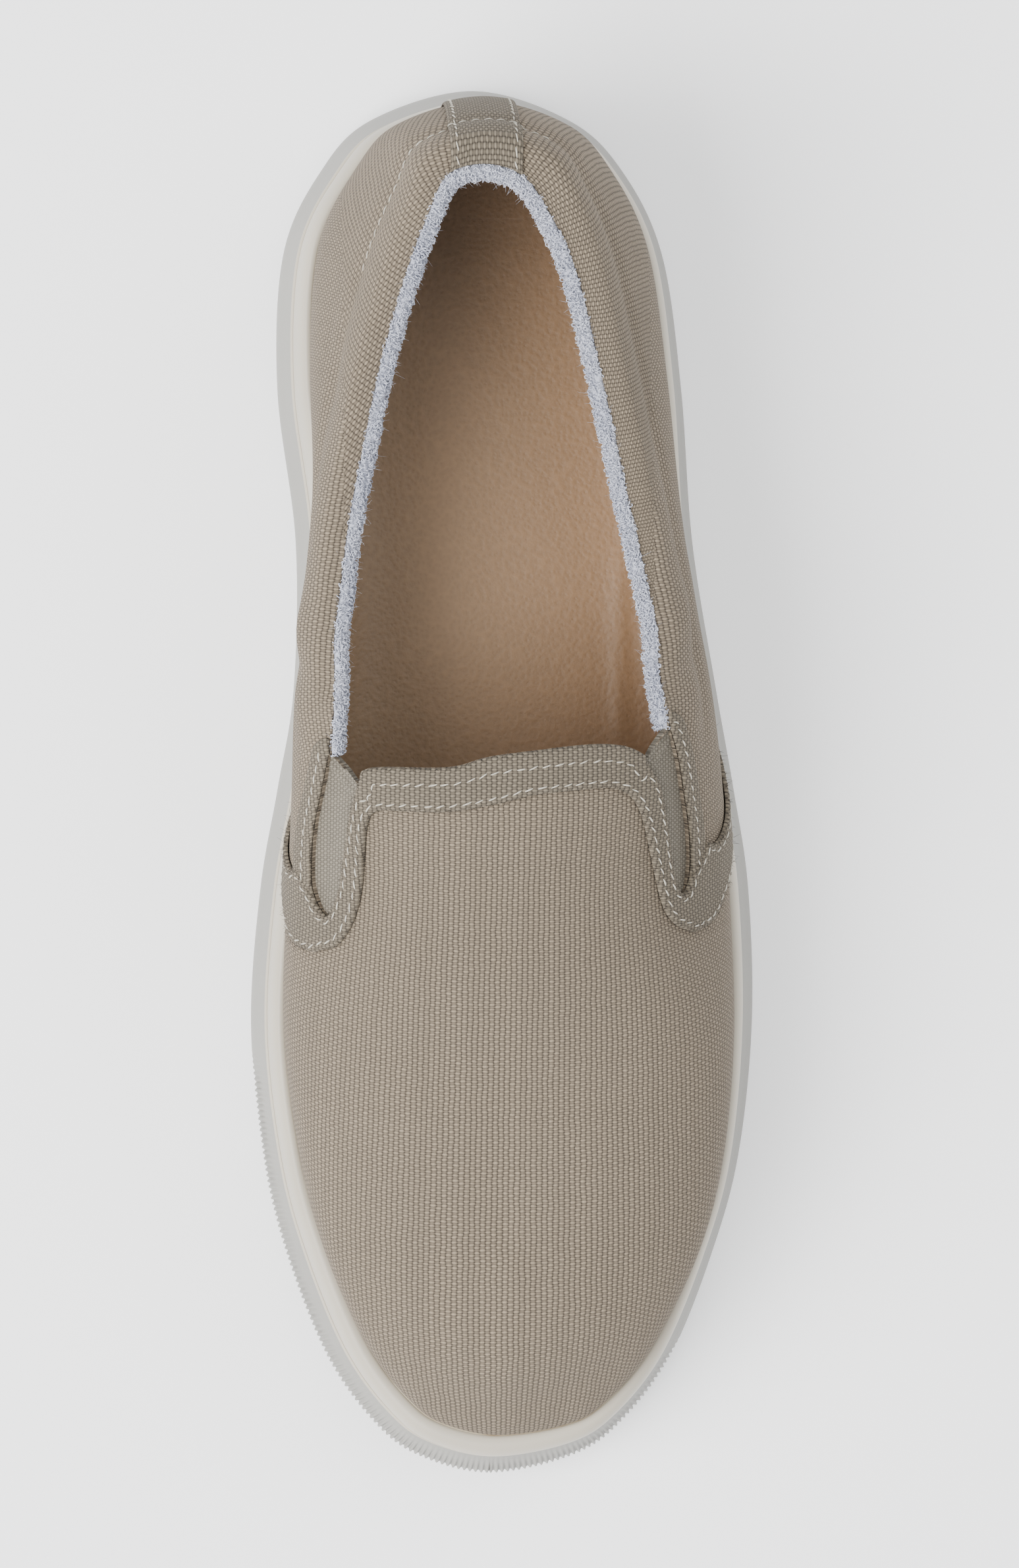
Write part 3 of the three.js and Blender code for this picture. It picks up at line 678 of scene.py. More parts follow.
def noise(tree, scale, detail=3.0, rough=0.5, place=None):
    place = place or node(tree, "ShaderNodeTexCoord").outputs["Object"]
    values = {"Scale": scale, "Detail": detail, "Roughness": rough, "Vector": place}
    return node(tree, "ShaderNodeTexNoise", values).outputs["Fac"]


def spread(tree, value, low, high, to_low=0.0, to_high=1.0):
    values = {"Value": value, "From Min": low, "From Max": high, "To Min": to_low, "To Max": to_high}
    return node(tree, "ShaderNodeMapRange", values).outputs["Result"]


def scaled_colour(tree, base, scale):
    return node(tree, "ShaderNodeVectorMath", {0: base, "Scale": scale}, operation="SCALE").outputs[0]


def varied(tree, tone, value, amount):
    """The tone, made darker and lighter by up to the amount as a noise value goes."""
    return calc(tree, "MULTIPLY", tone, spread(tree, value, 0.3, 0.7, 1 - amount, 1 + amount))


def shader(slot, build, **fixed):
    """A material for a slot of the record, whose build gives a base colour and a height in mm."""
    material = bpy.data.materials.new(slot)
    material["slot"] = slot
    material.use_nodes = True
    tree = material.node_tree
    principled = tree.nodes["Principled BSDF"]
    for socket, value in fixed.items():
        principled.inputs[socket.replace("_", " ")].default_value = value
    base, height = build(tree)
    tree.links.new(base, principled.inputs["Base Color"])
    bump = node(tree, "ShaderNodeBump", {"Height": height, "Distance": MM, "Strength": 1.0})
    tree.links.new(bump.outputs["Normal"], principled.inputs["Normal"])
    return material


def weave(tree, column, row, stray):
    """Height of a plain weave from 0 to 1, a number for each yarn, and the place on the cloth."""
    place = node(tree, "ShaderNodeUVMap", uv_map="weave").outputs[0]
    parts = node(tree, "ShaderNodeSeparateXYZ", {0: place})
    sway = spread(tree, noise(tree, 0.25, 2, 0.5, place), 0.3, 0.7, -stray, stray)
    drift = spread(tree, noise(tree, 0.8, 2, 0.5, place), 0.3, 0.7, -stray, stray)
    u = calc(tree, "ADD", calc(tree, "DIVIDE", parts.outputs[0], column), sway)
    v = calc(tree, "ADD", calc(tree, "DIVIDE", parts.outputs[1], row), drift)

    def yarn(along, across, turn, crown_height, wave_height):
        lane = calc(tree, "FLOOR", across)
        side = calc(tree, "MULTIPLY_ADD", calc(tree, "FRACT", across), 2.0, -1.0)
        crown = calc(tree, "SQRT", calc(tree, "SUBTRACT", 1.0, calc(tree, "MULTIPLY", side, side)))
        turns = calc(tree, "ADD", calc(tree, "SUBTRACT", along, 0.5), lane)
        wave = calc(tree, "COSINE", calc(tree, "MULTIPLY", turns, math.pi))
        height = calc(tree, "MULTIPLY", wave, turn * wave_height)
        return calc(tree, "MULTIPLY_ADD", crown, crown_height, height), lane

    warp, warp_lane = yarn(v, u, 1.0, 0.62, 0.36)
    weft, weft_lane = yarn(u, v, -1.0, 0.4, 0.2)
    is_warp = calc(tree, "GREATER_THAN", warp, weft)
    lane = calc(tree, "MULTIPLY_ADD", is_warp, calc(tree, "SUBTRACT", warp_lane, weft_lane), weft_lane)
    number = calc(tree, "ADD", lane, calc(tree, "MULTIPLY", is_warp, 0.37))
    shade = node(tree, "ShaderNodeTexWhiteNoise", {"W": number}, noise_dimensions="1D")
    return calc(tree, "MAXIMUM", warp, weft), shade.outputs["Value"], place


def woven(lit, deep, column, row, depth, stray=0.12):
    def build(tree):
        height, shade, place = weave(tree, column, row, stray)
        fibre = noise(tree, 7.0, 4, 0.6, place)
        slub = noise(tree, 0.6, 3, 0.5, place)
        patch = noise(tree, 22.0, 3)
        # Painted shade and light: the weave's hollows take the deep colour as painted shade, and its
        # crowns take the lit colour, on top of the bump's own shading.
        base = blend(tree, spread(tree, height, 0.2, 0.85), colour(*deep), colour(*lit))
        tone = calc(tree, "MULTIPLY_ADD", shade, 0.12, 0.94)
        for value, amount in ((fibre, 0.08), (slub, 0.05), (patch, 0.04)):
            tone = varied(tree, tone, value, amount)
        relief = calc(tree, "MULTIPLY_ADD", height, depth, calc(tree, "MULTIPLY", fibre, 0.1))
        return scaled_colour(tree, base, tone), relief

    return build


def rubber(rgb, grain):
    def build(tree):
        patch = noise(tree, 25.0, 3)
        fine = noise(tree, 1500.0, 2)
        worn = colour(*[v * 0.97 for v in rgb])
        base = blend(tree, spread(tree, patch, 0.3, 0.7), worn, colour(*rgb))
        return base, calc(tree, "MULTIPLY", fine, grain)

    return build


def leather(tree):
    place = node(tree, "ShaderNodeTexCoord").outputs["Object"]
    values = {"Vector": place, "Scale": 1100.0}
    cells = node(tree, "ShaderNodeTexVoronoi", values, feature="SMOOTH_F1").outputs["Distance"]
    fine = noise(tree, 2500.0, 3)
    patch = noise(tree, 30.0, 4)
    side = node(tree, "ShaderNodeSeparateXYZ", {0: place}).outputs[0]
    # Painted shade: the sock is darker on its medial side and lighter on its lateral side, as the collar's
    # shadow and the key light from the medial side make it.
    lateral_light_share = spread(tree, side, -0.03, 0.03)
    painted_shade_base = blend(tree, lateral_light_share, colour(122, 97, 68), colour(132, 99, 66))
    tone = varied(tree, spread(tree, cells, 0.2, 0.8, 0.94, 1.08), patch, 0.05)
    relief = calc(tree, "MULTIPLY_ADD", cells, 0.1, calc(tree, "MULTIPLY", fine, 0.04))
    return scaled_colour(tree, painted_shade_base, tone), relief


def towelling(tree):
    patch = noise(tree, 60.0, 3)
    fine = noise(tree, 1800.0, 3)
    base = blend(tree, spread(tree, patch, 0.3, 0.7), colour(176, 179, 192), colour(194, 196, 206))
    return base, calc(tree, "MULTIPLY", fine, 0.5)


def spun(tree):
    fine = noise(tree, 3000.0, 2)
    base = blend(tree, fine, colour(150, 144, 130), colour(196, 191, 178))
    return base, calc(tree, "MULTIPLY", fine, 0.08)


def glued(tree):
    patch = noise(tree, 120.0, 3)
    base = blend(tree, spread(tree, patch, 0.35, 0.65), colour(120, 102, 74), colour(172, 162, 140))
    return base, calc(tree, "MULTIPLY", patch, 0.1)


# The second colour of each woven cloth is painted shade for the weave's hollows; the first is the crowns
# in light.
canvas = shader("canvas", woven((138, 124, 105), (39, 32, 25), 1.055, 0.51, 0.47), Roughness=0.95)
trim_canvas = shader("trim_canvas", woven((120, 110, 94), (37, 31, 25), 0.95, 0.5, 0.42), Roughness=0.95)
elastic = shader("elastic", woven((121, 114, 101), (62, 56, 47), 0.6, 0.42, 0.18, 0.05), Roughness=0.9)
rim_rubber = shader("rim_rubber", rubber((177, 169, 153), 0.02), Roughness=0.5)
# The wall's rubber is the same white rubber as the rim's; its darker grey is painted shade on the lower
# wall.
sole_rubber = shader("sole_rubber", rubber((144, 142, 136), 0.02), Roughness=0.5)
insole_leather = shader("insole_leather", leather, Roughness=0.55)
terry = shader("terry", towelling, Roughness=1.0)
thread = shader("thread", spun, Roughness=0.7)
glue = shader("rim_rubber", glued, Roughness=0.4)

# Lines that several pieces share
form = Form(np.arange(SECTIONS * 20) / 20)
collar_stations = (form.s >= COLLAR_FROM) & (form.s <= SECTIONS - COLLAR_FROM)
turned = COLLAR_PAD + HEEL_FOLD * hill(form.s, LAST_ROW - 1.6, 1.3)[:, None]
collar_inner = (form.face[:, form.wall_rows] - form.out * turned)[collar_stations, :2]
collar_inner = smooth_line(resample(collar_inner, 1.0), 12)
lateral_corner, medial_corner = (plan_line(gore["quarter"])[0] for gore in (LATERAL, MEDIAL))
opening_plan = np.vstack([collar_inner, medial_corner, plan_line(THROAT_FRONT), lateral_corner])


def opening_field(points):
    return np.minimum(inside(points[:, :2], opening_plan), points[:, 2] - CUT_FROM)


def gore_field(gore):
    outline = np.vstack([plan_line(gore["quarter"]), plan_line(gore["trim"])[::-1]])
    return lambda points: np.minimum(inside(points[:, :2], outline), points[:, 2] - CUT_FROM)


def rim_field(data):
    """Height above the rim."""
    across = 1000 * (np.sign(data[:, :1]) != np.sign(form.outline[:, 0]))
    nearest = np.abs(data[:, 1:2] - form.outline[:, 1]) + across
    return data[:, 2] - form.rim_top[nearest.argmin(1)] - 0.1


# Weave coordinates of the quarters: up from the shoulder, and along the padded roll
def face_sheet(stations, wrap=False):
    roll = int(stations.wall_rows * 0.82)
    gone = gone_along(stations.face[:, roll])
    place = np.stack([stations.climb, np.broadcast_to(gone[:, None], stations.climb.shape)], -1)
    return grid_sheet(stations.face, stations.normal, place, wrap=wrap)


whole = face_sheet(form, wrap=True)


# The canvas: a vamp and two quarters that meet under the trim, cut out for the opening and gores
def quarter_field(points):
    """Positive behind the gores and outside them, and behind the middle of the trim's limbs."""
    levels = []
    for gore in GORES:
        middle = (side_line(gore["limb_back"]) + side_line(gore["limb_front"])) / 2
        behind = points[:, 1] - np.interp(points[:, 2], middle[::-1, 1], middle[::-1, 0])
        between = (plan_line(gore["quarter"])[:1] + plan_line(gore["trim"])[:1]) / 2
        line = np.vstack([between, plan_line(gore["quarter"])[-1:]])[::-1]
        beyond = gore["side"] * (points[:, 0] - np.interp(points[:, 1], line[:, 1], line[:, 0]))
        levels.append(np.minimum(behind, beyond))
    return np.maximum(*levels)


def flat_pattern(sheet, centre):
    """The sheet with weave coordinates as if laid out flat, in line with the shoe at the centre."""
    data, triangles = sheet
    mesh = bpy.data.meshes.new("pattern")
    mesh.from_pydata(data[:, :3].tolist(), [], triangles.tolist())
    pattern = new_object("pattern", mesh)
    bpy.context.view_layer.objects.active = pattern
    bpy.ops.object.select_all(action="DESELECT")
    pattern.select_set(True)
    bpy.ops.object.mode_set(mode="EDIT")
    bpy.ops.mesh.select_all(action="SELECT")
    bpy.ops.uv.unwrap(method="CONFORMAL", margin=0)
    bpy.ops.object.mode_set(mode="OBJECT")
    corners = np.empty(triangles.size * 2)
    mesh.uv_layers[0].data.foreach_get("uv", corners)
    index = np.empty(triangles.size, int)
    mesh.loops.foreach_get("vertex_index", index)
    flat = np.zeros((len(data), 2))
    flat[index] = corners.reshape(-1, 2)
    bpy.data.objects.remove(pattern)
    bpy.data.meshes.remove(mesh)
    near = np.hypot(*(data[:, :2] - centre).T) < LAID_RADIUS
    flat -= flat[near].mean(0)
    fit, *_ = np.linalg.lstsq(flat[near], data[near, :2] - data[near, :2].mean(0), rcond=None)
    turn, _, mirror = np.linalg.svd(fit)
    flat = flat @ (turn @ mirror)
    a, b = triangles[near[triangles[:, 0]], :2].T
    real = np.linalg.norm(data[a, :3] - data[b, :3], axis=1).sum()
    drawn = np.linalg.norm(flat[a] - flat[b], axis=1).sum()
    laid = data.copy()
    laid[:, WEAVE_COLUMN:LEVEL_COLUMN] = flat * real / drawn
    return laid, triangles


def fair_toe(sheet):
    """The sheet with the start of the instep's ridge faired into the toe around it."""
    data = sheet[0].copy()
    x, y = (data[:, :2] - form.face[0, -1, :2]).T
    away = np.hypot(x, y)
    terms = np.stack([np.ones(len(x)), x, y, x * x, x * y, y * y], 1)
    around = (away > TOE_FITTED[0]) & (away < TOE_FITTED[1])
    fit, *_ = np.linalg.lstsq(terms[around], data[around, 2], rcond=None)
    data[:, 2] += (terms @ fit - data[:, 2]) * (1 - smoothstep(away, *TOE_FAIRED))
    return data, sheet[1]


def make_canvas():
    body = clip(whole, -opening_field(whole[0][:, :3]))
    for gore in GORES:
        body = clip(body, -gore_field(gore)(body[0][:, :3]))
    back = quarter_field(body[0][:, :3])
    vamp = smooth_normals(fair_toe(weld(clip(body, -back), 0.1)))
    vamp = flat_pattern(vamp, (-2, -60))
    make_object("vamp_canvas", slab(vamp, 0, -CANVAS_SKIN), canvas, "upper")
    make_object("quarter_canvas", slab(clip(body, back), 0, -CANVAS_SKIN), canvas, "upper")


def make_lining():
    inner = form.face - form.normal * form.wall_thickness()[..., None]
    drop = inner[:, :1] - np.array([0, 0, CUP_DEPTH - 1.0])
    points = np.concatenate([drop, inner], 1)
    normals = np.concatenate([form.normal[:, :1], form.normal], 1)
    data, triangles = grid_sheet(points, normals, wrap=True)
    data, triangles = clip((data, triangles), -0.7 - opening_field(data[:, :3]))
    make_object("lining", (data, triangles[:, ::-1]), terry, "upper")


# Stitches
def stitch_row(path, normals, lift):
    """Paths of the stitches of a row, each a little arched and turned."""
    gone = gone_along(path)
    count = int(gone[-1] / STITCH_PERIOD)
    middle = (np.arange(count) + 0.5) * STITCH_PERIOD + random.uniform(-0.15, 0.15, count)
    length = STITCH_LENGTH * random.uniform(0.85, 1.1, count)
    t = np.linspace(-0.5, 0.5, 7)
    places = middle[:, None] + length[:, None] * t
    points, up = (
        np.stack([np.interp(places, gone, source[:, k]) for k in range(3)], -1)
        for source in (path, normals)
    )
    aside = unit(np.cross(up, np.gradient(points, axis=1)))
    slant = random.normal(0.22, 0.06, (count, 1)) * t * 2
    arch = lift - 0.05 + 0.14 * (1 - (2 * t) ** 2)
    return points + up * arch[:, None] + aside * slant[..., None]


def make_stitches(name, rows):
    paths = np.concatenate([stitch_row(*row) for row in rows])
    thick = STITCH_RADIUS * np.array([0.45, 0.85, 1, 1.05, 1, 0.85, 0.45])
    radius = thick * random.uniform(0.85, 1.15, (len(paths), 1))
    make_object(name, tubes(paths, radius, 6), thread)


def fibres(data, count, length, radius, out=1.0):
    """Fine curling fibres that leave random vertices of the data."""
    start = data[random.integers(0, len(data), count)]
    t = np.linspace(0, 1, 6)[:, None]
    aim = unit(start[:, 3:6] * out + random.normal(0, 0.6, (count, 3)))
    curl = random.normal(0, 0.45, (count, 3))
    size = (length * random.uniform(0.4, 1.3, count))[:, None, None]
    paths = start[:, None, :3] + size * (aim[:, None] * t + curl[:, None] * t**2)
    return tubes(paths, radius * np.array([1, 1, 0.9, 0.8, 0.6, 0.3]), 3)


# Pieces that lie on the canvas
def rounded(distance, width=EDGE_ROUND, height=TRIM):
    return height * np.sqrt(1 - (1 - np.clip(distance / width, 0, 1)) ** 2)


def raised(name, base, material, *nodes, height=TRIM):
    """A tape over the base, with rounded edges that stand off it where its level runs out."""
    sheet = clip(base, base[0][:, LEVEL_COLUMN])
    for mark in (0.08, 0.25, 0.5, EDGE_ROUND):
        sheet, _ = split(sheet, sheet[0][:, LEVEL_COLUMN] - mark)
    level = sheet[0][:, LEVEL_COLUMN]
    under = EDGE_LIFT * (1 - smoothstep(level, 0.3, 1.4))
    top = EDGE_LIFT + 0.1 + rounded(level, height=height)
    make_object(name, slab(sheet, top, under), material, *nodes)
    return sheet


def tape_top(height):
    return EDGE_LIFT + 0.1 + height


def side_by_side(low, high, per_section):
    """The face from low to high stations on the lateral side and as far on the medial side."""
    count = int(round((high - low) * per_section)) + 1
    ranges = (np.linspace(low, high, count), np.linspace(SECTIONS - high, SECTIONS - low, count))
    return join_sheets([face_sheet(Form(s, 80, 60)) for s in ranges])


def smooth_max(a, b, width):
    near = np.maximum(width - np.abs(a - b), 0) / width
    return np.maximum(a, b) + near**2 * width / 4


def beside_gore(gore):
    a, b = plan_line(gore["quarter"])[0], plan_line(gore["trim"])[0]
    along = unit(b - a)
    inward = np.array([-along[1], along[0]]) * -np.sign(a[0])
    return (a + b) / 2 + inward * 3


TRIM_PLAN = np.vstack(
    [
        plan_line(TRIM_FRONT),
        plan_line(LATERAL["turn"])[::-1],
        plan_line(LATERAL["trim"])[::-1],
        beside_gore(LATERAL),
        beside_gore(MEDIAL),
        plan_line(MEDIAL["trim"]),
        plan_line(MEDIAL["turn"]),
    ]
)


def trim_field(points):
    level = np.minimum(inside(points[:, :2], TRIM_PLAN), points[:, 2] - LIMB_FROM)
    for gore in GORES:
        limb = np.vstack([side_line(gore["limb_back"]), side_line(gore["limb_front"])[::-1]])
        reach = np.minimum(inside(points[:, 1:3], limb), gore["side"] * points[:, 0] - 20)
        level = smooth_max(level, reach, 5)
        level = np.minimum(level, -gore_field(gore)(points))
    return np.minimum(level, -opening_field(points))


def make_trim():
    base = weld(side_by_side(4.6, 10.6, 22))
    rough = trim_field(base[0][:, :3])
    base = keep(base, (rough > -3)[base[1]].any(1))
    base = with_level(base, on_surface(trim_field, base[0]))
    base = clip(base, rim_field(base[0]))
    trim = raised("throat_trim", flat_pattern(base, (-4, 0)), trim_canvas, "vamp_trim")
    from_throat = -opening_field(trim[0][:, :3]) - trim[0][:, LEVEL_COLUMN]
    inset = THROAT_STITCH_IN + (STITCH_IN - THROAT_STITCH_IN) * smoothstep(from_throat, 0.2, 1.2)
    rows = level_paths(trim, trim[0][:, LEVEL_COLUMN] - inset)
    make_stitches("trim_stitches", [(*row, tape_top(TRIM)) for row in rows])
    edge = np.abs(trim[0][:, LEVEL_COLUMN] - 0.4) < 0.35
    frayed = trim[0][edge].copy()
    frayed[:, :3] += frayed[:, 3:6] * 0.9
    make_object("trim_fray", fibres(frayed, 700, 0.9, 0.035), trim_canvas)


def make_quarter_tapes():
    base = weld(side_by_side(6, 10.4, 24))
    for gore in GORES:
        edge = plan_line(gore["quarter"])
        outer = inside(base[0][:, :2], np.vstack([edge, plan_line(gore["trim"])[::-1]]))
        near = np.abs(outer) < 2 * TAPE_WIDTH

        def tape_field(points):
            line = distance_to_line(points[:, :2], edge, False)
            free = np.minimum(-opening_field(points), -gore_field(gore)(points))
            behind = quarter_field(points) + 1.0
            level = np.minimum(np.minimum(TAPE_WIDTH - line, free), behind)
            return np.minimum(level, points[:, 2] - CUT_FROM)

        part = keep(base, near[base[1]].all(1))
        part = keep(part, (part[0][part[1], 0] * gore["side"] > 0).all(1))
        part = with_level(part, on_surface(tape_field, part[0]))
        side = "medial" if gore is MEDIAL else "lateral"
        tape = raised(f"quarter_tape_{side}", part, trim_canvas, height=FOLD)
        from_edge = distance_to_line(tape[0][:, :2], edge, False)
        rows = level_paths(tape, from_edge - STITCH_IN)
        make_stitches(f"quarter_stitches_{side}", [(*row, tape_top(FOLD)) for row in rows])


def make_heel_strip():
    base = face_sheet(Form(np.linspace(13.2, 16.8, 150), 80, 60))
    from_side = HEEL_STRIP / 2 - np.abs(base[0][:, 0] - HEEL_STRIP_MIDDLE)
    base = with_level(base, np.minimum(from_side, -opening_field(base[0][:, :3])))
    base = with_level(base, from_side)
    base = clip(base, rim_field(base[0]))
    base[0][:, WEAVE_COLUMN + 1] = base[0][:, 0]
    strip = raised("heel_tape", base, trim_canvas, "heel_strip", height=FOLD)
    rows = level_paths(strip, strip[0][:, LEVEL_COLUMN + 1] - STITCH_IN)
    make_stitches("heel_stitches", [(*row, tape_top(FOLD)) for row in rows])


def make_collar_stitches():
    """The row below the padded roll, over the heel strip and fading out along the medial side."""
    stations = Form(np.linspace(14.1, 18.2, 300))
    points, normals = stations.at_climb(-ROLL_WIDTH)
    over_strip = smoothstep(HEEL_STRIP / 2 + 0.6 - np.abs(points[:, 0] - HEEL_STRIP_MIDDLE), 0, 0.8)
    sunk = 0.3 * smoothstep(np.abs(stations.s - LAST_ROW), 2.8, 3.6)
    points = points + normals * (tape_top(FOLD) * over_strip - sunk)[:, None]
    make_stitches("collar_stitches", [(points, normals, 0.02)])


# Elastic gores, tucked under the canvas
def make_gore(gore, name, node_name):
    base = weld(side_by_side(6, 9.6, 26))
    base = keep(base, (base[0][base[1], 0] * gore["side"] > 0).all(1))
    field = gore_field(gore)
    level = np.minimum(field(base[0][:, :3]) + 1.5, -opening_field(base[0][:, :3]))
    base = clip(base, level)
    base = with_level(base, -opening_field(base[0][:, :3]))
    for mark in (0.3, 0.9, 1.1, 1.3, HEM - 0.3, HEM - 0.1, HEM + 0.1):
        base, _ = split(base, base[0][:, LEVEL_COLUMN] - mark)
    down = base[0][:, LEVEL_COLUMN]
    hem = 0.3 * smoothstep(HEM - down, 0, 0.3) - 0.2 * hill(down, 1.1, 0.2)
    from_trim = distance_to_line(base[0][:, :2], plan_line(gore["trim"]), False)
    depth = GORE_DEPTH[0] + (GORE_DEPTH[1] - GORE_DEPTH[0]) * smoothstep(from_trim, 0.5, 4)
    base[0][:, WEAVE_COLUMN:LEVEL_COLUMN] = base[0][:, :2]
    make_object(name, slab(base, hem - depth, -depth - 1.0), elastic, node_name)


# Towelling inside the collar: a roll with loops and loose fibres
def height_at(places):
    """Height of the canvas over places on the plan, near the top of the shoe."""
    face = form.face.reshape(-1, 3)
    top = face[face[:, 2] > CUT_FROM]
    heights = []
    for part in np.array_split(places, 12):
        away = ((part[:, None] - top[:, :2]) ** 2).sum(-1)
        near = np.argpartition(away, 3, axis=1)[:, :4]
        weight = 1 / (np.take_along_axis(away, near, 1) + 0.05)
        heights.append((top[near, 2] * weight).sum(1) / weight.sum(1))
    return np.concatenate(heights)


def make_towelling():
    line = np.vstack([lateral_corner, collar_inner, medial_corner])
    line = smooth_line(resample(line, TERRY_EDGE), 8)
    height = smooth_line(height_at(line)[:, None], 10)[:, 0]
    ahead = unit(np.gradient(line, axis=0))
    inward = np.stack([-ahead[:, 1], ahead[:, 0], 0 * height], 1)
    edge = np.column_stack([line, height])
    profile = [(-1.2, -1.7), (-0.4, -0.8), (0.3, -0.3), (1.0, -0.1), (1.6, -0.4)]
    profile += [(2.1, -1.2), (2.3, -2.8), (2.2, -6), (1.7, -13)]
    rows = open_curve(profile, 4)
    rough = 0.25 * np.sin(np.arange(len(line)) * 0.9) * np.sin(np.arange(len(line)) * 0.37)
    size = (1 + 0.12 * rough)[:, None, None]
    points = edge[:, None] + inward[:, None] * rows[None, :, :1] * size + UP * rows[None, :, 1:]
    normals = unit(np.cross(np.gradient(points, axis=0), np.gradient(points, axis=1)))
    make_object("collar_towelling", slab(grid_sheet(points, normals), 0, -0.8), terry)

    shown = slice(8, 26)  # rows of the profile that carry loops
    visible = grid_sheet(points[:, shown], normals[:, shown])[0]
    start = visible[random.integers(0, len(visible), LOOPS)]
    t = np.linspace(-0.6, 2 * math.pi * 0.86, 7)[:, None]
    out = unit(start[:, 3:6] + random.normal(0, 0.35, (LOOPS, 3)))
    aside = unit(np.cross(out, random.normal(size=(LOOPS, 3))))
    third = np.cross(out, aside)
    size = random.uniform(*LOOP_SIZE, LOOPS)[:, None, None]
    loops = out[:, None] * (0.8 - np.cos(t)) + aside[:, None] * np.sin(t) * 0.8 + third[:, None] * t * 0.12
    loops = start[:, None, :3] + size * loops
    make_object("terry_loops", tubes(loops, LOOP_YARN, 3), terry)
    make_object("terry_fibres", fibres(visible, 3000, 1.1, 0.022), terry)


# Sole
def ring_stack(rings):
    points = np.stack(rings, 1)
    across = np.roll(points, -1, 0) - np.roll(points, 1, 0)
    normals = unit(np.cross(across, np.gradient(points, axis=1)))
    return grid_sheet(points, normals, wrap=True)


def bead(stations, centre, radius):
    """Rings of a thin bead round the shoe."""
    turn = np.linspace(0, 2 * math.pi, 9)
    return [centre + stations.outward * radius * math.cos(a) + UP * radius * math.sin(a) for a in -turn]


def make_rim():
    rings = [form.profile_ring(*UNDER_RIM)]
    rings += [form.profile_ring(*row) for row in open_curve(RIM_PROFILE, 6)]
    rings.append(form.sole_ring(form.rim_width, form.rim_top - CUP_DEPTH))
    rings.append(form.sole_ring(form.rim_width + 30, form.rim_top - CUP_DEPTH))
    make_object("sole_rim", ring_stack(rings), rim_rubber, "midsole", sharp=50)
    parting = form.profile_ring(*PARTING_BEAD)
    make_object("parting_bead", ring_stack(bead(form, parting, PARTING_RADIUS)), rim_rubber)
    foot = form.sole_ring(form.rim_width + 0.1, form.rim_top - 0.1)
    make_object("glue_line", ring_stack(bead(form, foot, GLUE_RADIUS)), glue)


def make_outsole():
    toe = np.arange(0, FINE_LATERAL, 1 / 90)
    rest = np.arange(FINE_LATERAL, SECTIONS - FINE_MEDIAL, 1 / 20)
    s = np.concatenate([toe, rest, np.arange(SECTIONS - FINE_MEDIAL, SECTIONS, 1 / 90)])
    stations = Form(s, 2, 2)
    gone = np.cumsum(np.linalg.norm(np.roll(stations.outline, 1, 0) - stations.outline, axis=1))
    medial = s > SECTIONS / 2
    from_tip = np.where(medial, SECTIONS - s, s)
    ribbed = np.clip((np.where(medial, RIBS_MEDIAL, RIBS_LATERAL) - from_tip) / 0.25, 0, 1)
    wave = np.clip(np.sin(gone * 2 * math.pi / RIB_PITCH) * 1.3, -1, 1)
    rings = []
    for inward, up in open_curve(OUTSOLE_PROFILE, 7):
        cut = RIB_DEPTH * hill(up, *RIB_RISE) * ribbed * (0.5 - 0.5 * wave)
        rings.append(stations.profile_ring(inward, up) - stations.outward * cut[:, None])
    rings.append(stations.profile_ring(*UNDER_RIM))
    make_object("sole_wall", ring_stack(rings), sole_rubber, "outsole", sharp=60)


def make_tread():
    """The underside, with grooves across it."""
    lateral = form.s <= LAST_ROW
    edge = form.sole_ring(form.rim_width * OUTSOLE_PROFILE[0][0], form.floor)
    right, left = edge[lateral], edge[~lateral][::-1]
    ends = max(right[0, 1], left[0, 1]) + 0.05, min(right[-1, 1], left[-1, 1]) - 0.05
    centres = np.arange(TREAD_PITCH / 2, LENGTH / 2, TREAD_PITCH)
    centres = np.concatenate([-centres[::-1], centres])
    lips = [c + a * TREAD_WIDTH / 2 + b for c in centres for a in (-1, 1) for b in (-0.04, 0.04)]
    lines = np.sort(np.concatenate([np.linspace(*ends, 90), lips]))
    lines = lines[(lines >= ends[0]) & (lines <= ends[1])]
    low = np.interp(lines, left[:, 1], left[:, 0])
    high = np.interp(lines, right[:, 1], right[:, 0])
    base = np.interp(lines, right[:, 1], right[:, 2])
    in_groove = (np.abs(lines[:, None] - centres) < TREAD_WIDTH / 2).any(1)
    width = high - low
    margin = np.minimum(TREAD_MARGIN - TREAD_INSET, width * 0.4)
    columns = [0 * width, margin - 0.04, margin + 0.04, width / 2]
    columns += [width - margin - 0.04, width - margin + 0.04, width]
    points = []
    for k, across in enumerate(columns):
        deep = TREAD_DEPTH * (in_groove & (1 < k < 5))
        points.append(np.stack([low + across, lines, base + deep], 1))
    points = np.stack(points, 1)
    normals = np.broadcast_to(-UP, points.shape)
    make_object("sole_tread", grid_sheet(points, normals), sole_rubber, "outsole", sharp=30)


